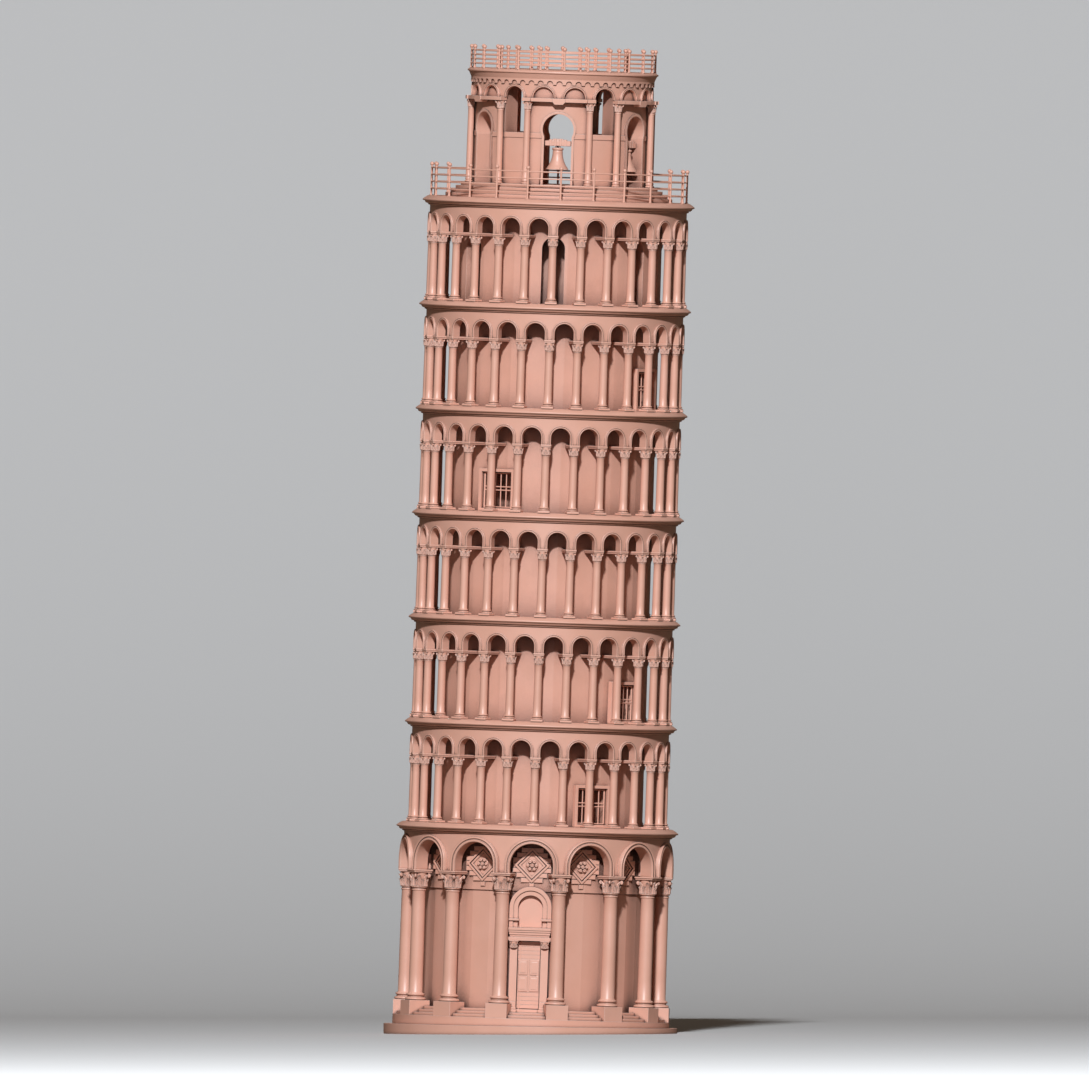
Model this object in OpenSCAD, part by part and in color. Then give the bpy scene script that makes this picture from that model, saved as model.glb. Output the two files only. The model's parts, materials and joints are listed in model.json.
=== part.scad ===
// Miniature leaning bell tower: a round tower of eight storeys, built from
// separate cores, columns, arcades and cornices, with swinging bells, a hinged
// door and hinged barred gates. Millimetres, +Z up. The origin is the middle
// of the base plate's underside, and the door looks along -Y.

/* [Tower] */
// Lean of the tower's axis from upright, in degrees, towards +X
lean = 1.95; // [0:0.05:4]
// Turn of every bay about the axis, in degrees
turn = -2; // [-12:0.5:12]
// Height from one gallery's cornice lip to the next
storey_h = 41.76; // [38:0.01:52]
// Circle of the ground storey's column axes, radius
ground_ring_r = 50.8; // [48:0.1:62]
// Circle of the galleries' column axes, radius
gallery_ring_r = 50.2; // [48:0.1:62]
// Circle of the belfry's column axes, radius
belfry_ring_r = 36.6; // [35.5:0.1:45]
// Running clearance of every pin in its hole, on the radius
pin_clear = 0.05; // [0.02:0.01:0.1]
// Gap between pieces that are set close but don't touch
set_gap = 0.1; // [0.05:0.01:0.2]

/* [Base] */
// How far the base plate stands out past the podium
plate_margin = 3.4; // [1:0.1:8]
// Thickness of the base plate on the axis
plate_t = 3.1; // [2.5:0.1:6]
// Slope of the base plate's top, in degrees
plate_slope = 1.07; // [0:0.01:1.5]
// Height of the podium on the axis
podium_h = 3.06; // [2.5:0.01:6]
// Rise of each step round the ground storey
step_rise = 1.2; // [0.8:0.1:1.6]
// Going of each step round the ground storey
step_going = 2.2; // [1:0.1:2.4]
// Width of the square pedestals
pedestal_w = 8.8; // [8.2:0.1:10]
// Height of the pedestals
pedestal_h = 5.84; // [4.5:0.01:9]

/* [Ground storey] */
// Diameter of the ground columns at the foot of the shaft
ground_shaft_d = 5.6; // [4:0.1:6.5]
// Height of a ground column's base mouldings
ground_base_h = 2.9; // [2:0.1:4]
// Height of a ground column's shaft
ground_shaft_h = 42.06; // [38:0.01:52]
// Height of a ground capital without its slab
ground_cap_h = 6.1; // [4:0.1:8]
// Thickness of the slab on a ground capital
ground_slab_t = 1.25; // [0.8:0.05:2]
// Width of the slab on a ground capital
ground_slab_w = 8.2; // [7:0.1:9]
// Radius of the ground arches' openings
ground_arch_r = 8.6; // [7:0.1:8.8]
// Straight rise below the ground arches
ground_stilt = 3.25; // [1:0.05:5]
// Height of the ground arcade
ground_arcade_h = 15.15; // [14.5:0.05:19]
// Thickness of the ground arcade's wall
ground_arcade_t = 4.8; // [3:0.1:6]
// Radius of the ground storey's core to the corners of its facets
ground_core_r = 44.4; // [40:0.1:45]
// Height above the ground at which the core's ornamented band starts
band_z = 57.2; // [54:0.1:60]
// How far the ornamented band stands out past the core
band_step = 0.7; // [0.3:0.1:1.2]

/* [Portal] */
// Width of the portal's doorway
doorway_w = 9.4; // [8:0.1:11]
// Width of each jamb of the portal
jamb_w = 3; // [2:0.1:3.4]
// Height of the doorway above the portal's sill
doorway_h = 27.4; // [22:0.1:30]
// Height of the portal's lintel
lintel_h = 5.2; // [4:0.1:6]
// How far the portal stands out past the core
portal_proud = 3.2; // [1.5:0.1:3.4]
// Radius of the portal's arch band, outside
portal_arch_r = 8.4; // [6:0.1:9]
// Straight rise below the portal's arch
portal_stilt = 4.4; // [0:0.1:5]
// Thickness of the door leaf
door_t = 1.4; // [1:0.1:2]

/* [Galleries] */
// Diameter of the gallery columns at the foot of the shaft
shaft_d = 3.2; // [2.4:0.1:4]
// Height of a gallery column's plinth and base
base_h = 2.3; // [1.6:0.1:3]
// Height of a gallery capital
cap_h = 3.1; // [2:0.1:4]
// Thickness of the impost beams
beam_t = 1.25; // [0.8:0.05:2]
// Width of the impost beams
beam_w = 4.3; // [3.4:0.1:5]
// Radius of the gallery arches' openings
arch_r = 3.85; // [3:0.05:4]
// Width of the raised band round each arch
arch_band_w = 1.1; // [0.6:0.05:1.2]
// Straight rise below the gallery arches
stilt = 2.75; // [1:0.05:4]
// Height of a gallery arcade
arcade_h = 10.4; // [9.4:0.1:13]
// Thickness of a gallery arcade's wall
arcade_t = 3.2; // [2:0.1:4]
// Radius of the gallery cores to the corners of their facets
core_r = 41.8; // [36:0.1:43]
// Height of a cornice below its lip
cornice_under = 2.1; // [1.5:0.1:3]
// Height of a cornice above its lip
cornice_over = 1.76; // [1.2:0.01:3]
// How far a gallery cornice's lip stands out past the arcade
cornice_proud = 3; // [1.5:0.1:5]

/* [Gates] */
// Width of the gateways
gateway_w = 16; // [12:0.1:18]
// Height of the gateways
gateway_h = 17; // [12:0.1:20]
// Direction of gallery 1's gate round the axis, in degrees
gate_1_turn = 32.4; // [-180:0.1:180]
// Direction of gallery 2's gate round the axis, in degrees
gate_2_turn = 52.3; // [-180:0.1:180]
// Direction of gallery 4's gate round the axis, in degrees
gate_4_turn = -27.5; // [-180:0.1:180]
// Direction of gallery 5's gate round the axis, in degrees
gate_5_turn = 63; // [-180:0.1:180]
// Depth of the rooms behind the gates
room_depth = 16.5; // [15:0.1:20]
// Diameter of the gates' bars
bar_d = 0.6; // [0.5:0.05:1]

/* [Belfry] */
// Outer radius of the belfry's wall
belfry_wall_r = 34.8; // [30:0.1:35]
// Thickness of the belfry's wall
belfry_wall_t = 9; // [7:0.1:11]
// Rise of each step below the belfry
belfry_step_rise = 1.47; // [1:0.01:2]
// Height of the belfry's columns with base and capital
belfry_column_h = 33.2; // [30:0.1:40]
// Diameter of the belfry's columns
belfry_shaft_d = 2.6; // [2:0.1:3.2]
// Width of the belfry's arched openings
bell_opening_w = 11; // [10.6:0.1:12]
// Radius of the round heads of the belfry's openings
bell_head_r = 6.2; // [6:0.1:6.8]
// Height of the round heads' centres above the belfry's steps
bell_head_z = 22.2; // [20:0.1:24]
// Height of the belfry's arcade
belfry_arcade_h = 7.65; // [7:0.05:9]
// Radius of the belfry's small arches
belfry_arch_r = 4.2; // [3.4:0.1:4.6]
// Height of the frieze above the belfry's arcade
frieze_h = 2.2; // [1.5:0.1:4]
// Thickness of the roof slab
roof_t = 1.35; // [1:0.05:3]

/* [Bells] */
// Radius of a bell at its lip
bell_lip_r = 4.65; // [4:0.05:5]
// Height of a bell from lip to crown
bell_h = 8; // [6.5:0.1:9]
// Height of the swing axis above the belfry's steps
bell_axis_z = 17.1; // [15:0.1:18]
// Distance of the bells from the tower's axis
bell_r = 31; // [28:0.1:32]

/* [Railings] */
// Height of the lower railing to the middle of its balls
low_rail_h = 12.6; // [8:0.1:16]
// Height of the upper railing to the middle of its balls
top_rail_h = 8.5; // [6:0.1:12]
// Radius of the roof's inner ring of railing
inner_rail_r = 25.6; // [20:0.1:30]
// Diameter of the railing posts
post_d = 0.85; // [0.6:0.05:1.4]
// Thickness of the railing bars
rail_t = 0.5; // [0.4:0.05:0.8]
// Turn of the railing posts about the axis, in degrees
post_turn = 0.7; // [-7:0.1:7]

/* [Hidden] */
$fn = 48;

// Counts of the repeated bays
ground_bays = 14;
gallery_bays = 28;
belfry_bays = 6;
belfry_arches = 18;
corbels = 60;
posts = 24;
facets = 36;
facet_turn = 6;
high_doors = 7;
steps_n = 3;
belfry_steps_n = 4;
rails_n = 4;
belfry_beam_t = 1.4;
// How far a cutter runs past the face it cuts
past = 2;
big = 200;

// Heights of the pieces along the tower's axis
podium_top = plate_t + podium_h;
steps_top = podium_top + steps_n * step_rise;
column_foot = podium_top + pedestal_h;
shaft_foot = column_foot + ground_base_h;
cap_foot = shaft_foot + ground_shaft_h;
slab_foot = cap_foot + ground_cap_h;
arcade_foot = slab_foot + ground_slab_t;
ground_top = arcade_foot + ground_arcade_h;
first_lip = ground_top + cornice_under;
function lip_z(k) = first_lip + (k - 1) * storey_h;
function floor_z(k) = lip_z(k) + cornice_over;
function ceiling_z(k) = lip_z(k + 1) - cornice_under;
function impost_z(k) = ceiling_z(k) - arcade_h;
terrace_z = floor_z(7);
belfry_foot = terrace_z + belfry_steps_n * belfry_step_rise;
belfry_beam_z = belfry_foot + belfry_column_h;
belfry_arcade_z = belfry_beam_z + belfry_beam_t;
belfry_arcade_top = belfry_arcade_z + belfry_arcade_h;
roof_foot = belfry_arcade_top + frieze_h;
roof_top = roof_foot + roof_t;

// Radii that follow from the driving ones
podium_r = norm([ground_ring_r + pedestal_w / 2, pedestal_w / 2]);
plate_r = podium_r + plate_margin;
low_step_r = podium_r - 1.6;
ground_arcade_r = ground_ring_r + ground_arcade_t / 2;
gallery_arcade_r = gallery_ring_r + 1.2;
gallery_lip_r = gallery_arcade_r + cornice_proud;
ground_lip_r = max(ground_arcade_r + 0.2, gallery_arcade_r) + cornice_proud;
band_r = ground_core_r + band_step;
portal_r = ground_core_r + portal_proud;
belfry_beam_r = belfry_ring_r + 2.2;
belfry_arcade_r = belfry_ring_r - 0.7;
roof_r = belfry_beam_r - 0.6;
low_rail_r = gallery_arcade_r - 0.3;
top_rail_r = roof_r - 1.4;
ball_r = post_d * 0.95;

// Portal, door and gates
sill_z = steps_top - step_rise;
sill_h = step_rise + 0.2;
doorway_z = sill_z + sill_h;
lintel_z = doorway_z + doorway_h;
impost_h = 3.6;
portal_impost_z = lintel_z + lintel_h + impost_h;
portal_arch_z = portal_impost_z + portal_stilt;
lunette_r = portal_arch_r - 3.4;
leaf_gap = 0.25;
// Distance of a leaf's hinge from the side of its doorway, so that its corner clears
function hinge_inset(t) = (leaf_gap * leaf_gap + t * t / 4) / (2 * leaf_gap) + 0.1;
hinge_pin_r = 0.45;
hinge_pin_l = 0.8;
door_r = ground_core_r + 1.6;
ground_base_r = 4.2;
gate_frame_w = 1.2;
gate_frame_t = 1.8;
gate_t = 0.9;
gate_r = core_r * cos(180 / facets) - 0.4;
gate_list = [[1, gate_1_turn], [2, gate_2_turn], [4, gate_4_turn], [5, gate_5_turn]];
high_door_w = 9.2;
high_door_spring = 22.2;
high_door_depth = 14;

// Bells and headstocks
headstock_h = 2.9;
headstock_d = 2.4;
gudgeon_r = 0.6;
gudgeon_l = 1.6;
crown_drop = 1.4;
bell_skin = 0.55;
clapper_drop = 1.4;
clapper_pin_r = 0.3;
clapper_rod_r = 0.3;
clapper_ball_r = 0.75;
bell_turns = [0, 60];

// ---- Frames of reference and shared shapes ----

module leaning() {
    rotate([0, lean, 0]) children();
}

module around(n, first) {
    for (i = [0 : n - 1]) rotate([0, 0, turn + first + i * 360 / n]) children();
}

// An outline in X and Z, carried outwards along -Y from r_in to r_out
module outward(r_in, r_out) {
    translate([0, -r_in, 0]) rotate([90, 0, 0])
        linear_extrude(r_out - r_in) children();
}

module disc(r, z0, z1) {
    translate([0, 0, z0]) cylinder(r = r, h = z1 - z0, $fn = 144);
}

module ring(r_in, r_out, z0, z1) {
    difference() {
        disc(r_out, z0, z1);
        disc(r_in, z0 - past, z1 + past);
    }
}

module prism(r, z0, z1) {
    translate([0, 0, z0]) linear_extrude(z1 - z0)
        polygon([for (i = [0 : facets - 1])
            let (a = facet_turn + i * 360 / facets) [r * sin(a), -r * cos(a)]]);
}

module block(w, z0, z1) {
    translate([-w / 2, z0]) square([w, z1 - z0]);
}

// An arch-headed outline from z0 up to a round head of radius r at spring_z
module arch_outline(r, z0, spring_z) {
    block(2 * r, z0, spring_z);
    translate([0, spring_z]) intersection() {
        circle(r = r);
        block(2 * r + past, 0, r + past);
    }
}

module below_plate_top() {
    translate([0, 0, plate_t]) rotate([0, plate_slope, 0])
        translate([-big / 2, -big / 2, -big]) cube([big, big, big]);
}

// ---- Base ----

module base_plate() {
    color("#cf9c88") intersection() {
        disc(plate_r, 0, 3 * plate_t);
        below_plate_top();
    }
}

module podium() {
    color("#d3a08c") difference() {
        leaning() disc(podium_r, 0, podium_top);
        below_plate_top();
    }
}

module pedestal_places() {
    around(ground_bays, 180 / ground_bays) translate([0, -ground_ring_r, 0]) children();
}

module pedestal_block(grow, z0, z1) {
    w = pedestal_w + 2 * grow;
    translate([-w / 2, -w / 2, z0]) cube([w, w, z1 - z0]);
}

module ground_steps() {
    color("#dba892") leaning() difference() {
        for (i = [0 : steps_n - 1])
            disc(low_step_r - i * step_going, podium_top + i * step_rise,
                podium_top + (i + 1) * step_rise);
        pedestal_places() pedestal_block(set_gap, podium_top - past, column_foot);
        rotate([0, 0, turn])
            outward(door_r - door_t - set_gap, big / 2)
                block(doorway_w + 2 * jamb_w + 2 * set_gap, sill_z, column_foot);
    }
}

module pedestals() {
    color("#d6a08c") leaning() pedestal_places()
        pedestal_block(0, podium_top, column_foot);
}

// ---- Ground storey ----

module ground_drum() {
    prism(ground_core_r, steps_top, ground_top);
    prism(band_r, band_z, ground_top);
}

module ground_core() {
    color("#c99680") leaning() difference() {
        ground_drum();
        rotate([0, 0, turn]) {
            outward(door_r - door_t - doorway_w - 2, big / 2)
                block(doorway_w + 2 * set_gap, steps_top - past, lintel_z);
            outward(door_r - door_t - set_gap, big / 2)
                block(doorway_w + 2 * jamb_w + 2 * set_gap, steps_top - past, lintel_z);
        }
    }
}

// A column base, shaft and neck in one turned outline
module turned_column(foot_r, shaft_r, top_r, base, total) {
    step = base / 7;
    rotate_extrude() polygon([[0, 0], [foot_r, 0], [foot_r, 2.4 * step],
        [foot_r * 0.86, 3 * step], [foot_r * 0.84, 3.8 * step],
        [foot_r * 0.9, 4.2 * step], [foot_r * 0.9, 5.8 * step],
        [shaft_r * 1.08, 6.4 * step], [shaft_r, 7 * step],
        [top_r, total - step], [top_r * 1.1, total - 0.8 * step],
        [top_r * 1.1, total], [0, total]]);
}

// A capital that flares from its neck to its slab
module turned_capital(neck_r, top_r, h) {
    rotate_extrude() polygon([[0, 0], [neck_r, 0], [neck_r * 1.12, 0.3 * h],
        [neck_r * 1.08, 0.4 * h], [neck_r * 1.26, 0.7 * h], [neck_r * 1.2, 0.76 * h],
        [top_r, h], [0, h]]);
}

module ground_columns() {
    color("#dba591") leaning() pedestal_places() translate([0, 0, column_foot])
        turned_column(ground_base_r, ground_shaft_d / 2, ground_shaft_d / 2 - 0.2,
            ground_base_h, ground_base_h + ground_shaft_h);
}

module ground_capitals() {
    w = ground_slab_w;
    color("#d9a38f") leaning() pedestal_places() {
        translate([0, 0, cap_foot])
            turned_capital(ground_shaft_d / 2 - 0.1, w / 2 - 0.2, ground_cap_h);
        translate([-w / 2, -w / 2, slab_foot]) cube([w, w, ground_slab_t]);
    }
}

// A round wall of arches, each with two raised bands round its opening. The
// plain wall starts its turn in the middle of a pier.
module arcade(n, first, r_in, r_out, z0, z1, open_r, spring_z, band_w, band_out) {
    low = z0 - past;
    difference() {
        union() {
            rotate([0, 0, turn + first + 180 / n - 90]) ring(r_in, r_out, low, z1);
            around(n, first) {
                outward(r_in + 0.5, r_out + band_out)
                    arch_outline(open_r + band_w / 2, low, spring_z);
                outward(r_in + 0.5, r_out + band_out / 2)
                    arch_outline(open_r + band_w, low, spring_z);
            }
        }
        disc(r_out + band_out + past, low - past, z0);
        around(n, first) outward(r_in - past, r_out + past)
            arch_outline(open_r, low, spring_z);
    }
}

module ground_arcade() {
    color("#d19d88") leaning()
        arcade(ground_bays, 0, ground_arcade_r - ground_arcade_t, ground_arcade_r,
            arcade_foot, ground_top, ground_arch_r, arcade_foot + ground_stilt, 2.2, 0.4);
}

ornament_z = arcade_foot + ground_stilt;
lozenge_half = 7;
block_h = 2;
block_face_r = band_r + 0.5;

// Stepped courses of blocks round each lozenge, narrowing upwards and downwards
module ashlar_outline(joint) {
    widths = [2, 8.8, 12.4, 15.4, 15.4, 15.4, 12.4, 8.8];
    for (i = [0 : len(widths) - 1])
        block(widths[i] - joint, ornament_z + (i - 4.5) * block_h + joint / 2,
            ornament_z + (i - 3.5) * block_h - joint / 2);
}

module lozenge_outline(half) {
    translate([0, ornament_z]) rotate(45) square(half * sqrt(2), center = true);
}

module ashlar_blocks() {
    color("#cd9883") leaning() difference() {
        around(ground_bays, 0) {
            outward(band_r - 2, block_face_r) ashlar_outline(0.4);
            outward(band_r - 2, block_face_r - 0.3) ashlar_outline(0);
        }
        around(ground_bays, 0) outward(band_r - 2 - past, block_face_r + past)
            lozenge_outline(lozenge_half);
        rotate([0, 0, turn]) outward(band_r - 2 - past, block_face_r + past)
            arch_outline(portal_arch_r + set_gap, lintel_z, portal_arch_z);
        ground_drum();
    }
}

module lozenges() {
    color("#c58e78") leaning() difference() {
        around(ground_bays, 0) {
            outward(band_r - 2, block_face_r - 0.25) lozenge_outline(lozenge_half);
            outward(band_r - 2, block_face_r + 0.5) difference() {
                lozenge_outline(lozenge_half);
                lozenge_outline(lozenge_half - 1);
            }
            outward(band_r - 2, block_face_r + 0.2) difference() {
                lozenge_outline(lozenge_half - 1.6);
                lozenge_outline(lozenge_half - 2.5);
            }
        }
        ground_drum();
    }
}

module rosettes() {
    petals = 6;
    petal_r = 0.8;
    color("#e0b09c") leaning() around(ground_bays, 0)
        translate([0, 1 - block_face_r - 0.75, ornament_z]) rotate([90, 0, 0]) {
            for (i = [0 : petals - 1]) rotate(i * 360 / petals)
                translate([1.5, 0, 0]) cylinder(r = petal_r, h = 1.2);
            cylinder(r = 1.2, h = 1.1);
            cylinder(r = 0.8, h = 1.5);
        }
}

// ---- Portal ----

// The hinge line of a leaf of thickness t in a doorway of width w
module hinge_line(w, t, r, z) {
    translate([hinge_inset(t) - w / 2, -r, z]) children();
}

module portal_frame() {
    color("#e3b3a1") leaning() rotate([0, 0, turn]) difference() {
        union() {
            outward(door_r - door_t, portal_r) difference() {
                block(doorway_w + 2 * jamb_w, sill_z, lintel_z);
                block(doorway_w, doorway_z, lintel_z + past);
            }
            for (side = [-1, 1]) outward(portal_r - 1, portal_r + 0.4)
                translate([side * (doorway_w + jamb_w) / 2, 0]) {
                    block(jamb_w, sill_z, doorway_z + 3);
                    block(jamb_w, lintel_z - 2.8, lintel_z);
                }
        }
        hinge_line(doorway_w, door_t, door_r - door_t / 2, sill_z)
            cylinder(r = hinge_pin_r + pin_clear, h = sill_h + past, $fn = 24);
        rotate([0, 0, -turn]) pedestal_places() {
            pedestal_block(set_gap, podium_top, column_foot);
            translate([0, 0, column_foot - past])
                cylinder(r = ground_base_r + set_gap, h = ground_base_h + past);
        }
    }
}

module portal_lintel() {
    half_w = doorway_w / 2 + jamb_w;
    rows = [[0, 1.4, 1.1], [1.4, 2.4, 0.2], [2.4, 3.4, 0.5], [3.4, 4.2, 0.8]];
    color("#e3b3a1") leaning() difference() {
        rotate([0, 0, turn]) {
            for (row = rows) outward(door_r - door_t, portal_r + row[2])
                block(2 * (half_w + row[2]), lintel_z + row[0], lintel_z + row[1]);
            outward(door_r - door_t, portal_r + 1.1)
                block(2 * (half_w + 1), lintel_z + 4.2, lintel_z + lintel_h);
        }
        ground_drum();
        rotate([0, 0, turn]) hinge_line(doorway_w, door_t, door_r - door_t / 2, lintel_z - past)
            cylinder(r = hinge_pin_r + pin_clear, h = hinge_pin_l + 0.1 + past, $fn = 24);
    }
}

module portal_arch() {
    impost_w = portal_arch_r - lunette_r + 1;
    arch_foot = lintel_z + lintel_h;
    color("#deac99") leaning() difference() {
        rotate([0, 0, turn]) {
            outward(ground_core_r - 3, portal_r - 0.6) difference() {
                arch_outline(portal_arch_r, arch_foot, portal_arch_z);
                arch_outline(lunette_r, arch_foot - past, portal_arch_z);
            }
            outward(ground_core_r - 3, portal_r) difference() {
                arch_outline(portal_arch_r, arch_foot, portal_arch_z);
                arch_outline(portal_arch_r - 1.5, arch_foot - past, portal_arch_z);
            }
            outward(ground_core_r - 3, ground_core_r + 0.5)
                arch_outline(lunette_r + 0.1, arch_foot, portal_arch_z);
            for (side = [-1, 1]) outward(ground_core_r - 3, portal_r + 0.7)
                translate([side * (portal_arch_r + lunette_r) / 2, 0])
                    block(impost_w, portal_impost_z - 0.8, portal_impost_z);
        }
        ground_drum();
    }
}

module portal_door() {
    leaf_w = doorway_w - 2 * leaf_gap;
    leaf_h = doorway_h - 2 * leaf_gap;
    leaf_z = doorway_z + leaf_gap;
    leaf_r = door_r - door_t;
    color("#e6b5a6") leaning() rotate([0, 0, turn]) {
        outward(leaf_r, door_r - 0.35) block(leaf_w, leaf_z, leaf_z + leaf_h);
        for (column = [-1, 1], row = [0, 1])
            outward(leaf_r + 0.2, door_r)
                translate([column * leaf_w / 4, leaf_z + 0.34 * leaf_h + row * 0.24 * leaf_h])
                    square([leaf_w / 2 - 1.1, 0.21 * leaf_h], center = true);
        hinge_line(doorway_w, door_t, door_r - door_t / 2, leaf_z - leaf_gap - hinge_pin_l)
            cylinder(r = hinge_pin_r, h = leaf_h + 2 * (leaf_gap + hinge_pin_l), $fn = 24);
    }
}

// ---- Cornices and galleries ----

module cornice(k) {
    lip_r = k == 1 ? ground_lip_r : gallery_lip_r;
    wall_r = k == 1 ? ground_arcade_r : gallery_arcade_r;
    out = lip_r - wall_r;
    // The flat top carries the feet of the columns above
    top_r = max(wall_r, gallery_arcade_r);
    color("#d8a48f") leaning() translate([0, 0, lip_z(k)])
        rotate_extrude($fn = 144) polygon([[0, -cornice_under],
            [wall_r + 0.1 * out, -cornice_under], [wall_r + 0.3 * out, -0.78 * cornice_under],
            [wall_r + 0.36 * out, -0.7 * cornice_under],
            [wall_r + 0.36 * out, -0.5 * cornice_under],
            [wall_r + 0.62 * out, -0.36 * cornice_under],
            [wall_r + 0.66 * out, -0.12 * cornice_under], [lip_r - 0.2, -0.1], [lip_r, 0],
            [lip_r, 0.12 * cornice_over], [lip_r - 0.4, 0.28 * cornice_over],
            [lip_r - 0.8, 0.3 * cornice_over],
            [top_r + 0.2 * (lip_r - top_r), cornice_over - 0.1],
            [top_r, cornice_over], [0, cornice_over]]);
}

module gateway(k) {
    for (gate = gate_list) if (gate[0] == k) rotate([0, 0, turn + gate[1]])
        outward(gate_r - room_depth, big / 2)
            block(gateway_w, floor_z(k), floor_z(k) + gateway_h);
}

module high_doorways() {
    around(high_doors, 0) outward(core_r - high_door_depth, big / 2)
        arch_outline(high_door_w / 2, floor_z(6) - past, floor_z(6) + high_door_spring);
}

module gallery_core(k) {
    color("#c9957f") leaning() difference() {
        prism(core_r, floor_z(k), ceiling_z(k));
        gateway(k);
        if (k == 6) high_doorways();
    }
}

module gallery_columns(k) {
    plinth_w = shaft_d + 1.6;
    plinth_t = 0.9;
    shaft_total = impost_z(k) - beam_t - cap_h - floor_z(k) - plinth_t;
    beam_in = core_r + set_gap;
    beam_out = gallery_arcade_r + 0.8;
    color("#dca793") leaning() around(gallery_bays, 0) {
        translate([0, -gallery_ring_r, floor_z(k)]) {
            translate([-plinth_w / 2, -plinth_w / 2, 0]) cube([plinth_w, plinth_w, plinth_t]);
            translate([0, 0, plinth_t])
                turned_column(plinth_w / 2 - 0.1, shaft_d / 2, shaft_d / 2 - 0.1,
                    base_h - plinth_t, shaft_total);
        }
        translate([0, -gallery_ring_r, impost_z(k) - beam_t - cap_h])
            turned_capital(shaft_d / 2, beam_w / 2 - 0.1, cap_h);
        outward(beam_in, beam_out) block(beam_w, impost_z(k) - beam_t, impost_z(k));
    }
}

module gallery_arcade(k) {
    color("#d19c87") leaning()
        arcade(gallery_bays, 180 / gallery_bays, gallery_arcade_r - arcade_t,
            gallery_arcade_r, impost_z(k), ceiling_z(k), arch_r, impost_z(k) + stilt,
            arch_band_w, 0.35);
}

// ---- Gates ----

gate_open_w = gateway_w - 2 * gate_frame_w;

module gate_place(gate) {
    rotate([0, 0, turn + gate[1]]) translate([0, 0, floor_z(gate[0])]) children();
}

module gate_pin_hole(z) {
    hinge_line(gate_open_w, gate_t, gate_r, z)
        cylinder(r = hinge_pin_r + pin_clear, h = hinge_pin_l + 0.1, $fn = 24);
}

module gate_frames() {
    color("#e0b19e") leaning() for (gate = gate_list) gate_place(gate) difference() {
        outward(gate_r - gate_frame_t / 2, gate_r + gate_frame_t) difference() {
            block(gateway_w, 0, gateway_h);
            block(gate_open_w, gate_frame_w, gateway_h - gate_frame_w);
        }
        gate_pin_hole(gate_frame_w - hinge_pin_l - 0.1);
        gate_pin_hole(gateway_h - gate_frame_w);
    }
}

module barred_gate(gate) {
    leaf_w = gate_open_w - 2 * leaf_gap;
    low = gate_frame_w + leaf_gap;
    high = gateway_h - gate_frame_w - leaf_gap;
    bars = 4;
    rail_h = 0.7;
    color("#dba994") leaning() gate_place(gate) {
        outward(gate_r - gate_t / 2, gate_r + gate_t / 2) {
            difference() {
                block(leaf_w, low, high);
                block(leaf_w - 2, low + rail_h, high - rail_h);
            }
            for (level = [0.5, 0.6])
                block(leaf_w - 1, low + level * (high - low), low + level * (high - low) + rail_h);
        }
        for (i = [1 : bars]) translate([(i / (bars + 1) - 0.5) * (leaf_w - 1), -gate_r, low])
            cylinder(d = bar_d, h = high - low, $fn = 24);
        hinge_line(gate_open_w, gate_t, gate_r, gate_frame_w - hinge_pin_l)
            cylinder(r = hinge_pin_r, h = high - low + 2 * (leaf_gap + hinge_pin_l), $fn = 24);
    }
}

// ---- Belfry ----

module belfry_steps() {
    color("#cf9a85") leaning() for (i = [0 : belfry_steps_n - 1])
        disc(belfry_beam_r + 0.6 + (belfry_steps_n - 1 - i) * 2,
            terrace_z + i * belfry_step_rise, terrace_z + (i + 1) * belfry_step_rise);
}

string_z = belfry_foot + bell_head_z - 3.6;
string_h = 2;

module bell_opening_outline(grow) {
    block(bell_opening_w + 2 * grow, belfry_foot - past, belfry_foot + bell_head_z);
    translate([0, belfry_foot + bell_head_z]) circle(r = bell_head_r + grow);
}

module belfry_wall() {
    r_in = belfry_wall_r - belfry_wall_t;
    slot_w = 10;
    slot_turn = 180 / belfry_bays;
    color("#d5a08c") leaning() difference() {
        union() {
            disc(belfry_wall_r, belfry_foot, belfry_arcade_top);
            around(belfry_bays, 0) difference() {
                outward(r_in + 1, belfry_wall_r + 0.3) bell_opening_outline(0.9);
                disc(big, belfry_foot - 2 * past, belfry_foot);
            }
            disc(belfry_wall_r + 0.35, string_z, string_z + string_h);
        }
        disc(r_in, belfry_foot - past, belfry_arcade_top + past);
        around(belfry_bays, 0)
            outward(r_in - past, belfry_wall_r + past) bell_opening_outline(0);
        for (bay = bell_turns) rotate([0, 0, turn + bay])
            translate([0, -bell_r, belfry_foot + bell_axis_z]) rotate([0, 90, 0])
                cylinder(r = gudgeon_r + pin_clear, h = bell_opening_w + 2 * gudgeon_l + 0.4,
                    center = true, $fn = 24);
        around(belfry_bays, slot_turn) outward(r_in - past, belfry_wall_r + past)
            block(slot_w, string_z + string_h, belfry_arcade_top - 0.6);
    }
}

module belfry_column_places() {
    for (side = [-20, 20]) around(belfry_bays, side) children();
}

module belfry_columns() {
    color("#dca692") leaning() belfry_column_places()
        translate([0, -belfry_ring_r, belfry_foot]) {
            turned_column(belfry_shaft_d / 2 + 0.4, belfry_shaft_d / 2,
                belfry_shaft_d / 2 - 0.1, 1.6, belfry_column_h - 3.3);
            translate([0, 0, belfry_column_h - 3.3])
                turned_capital(belfry_shaft_d / 2, belfry_shaft_d / 2 + 0.4, 3.3);
        }
}

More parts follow.
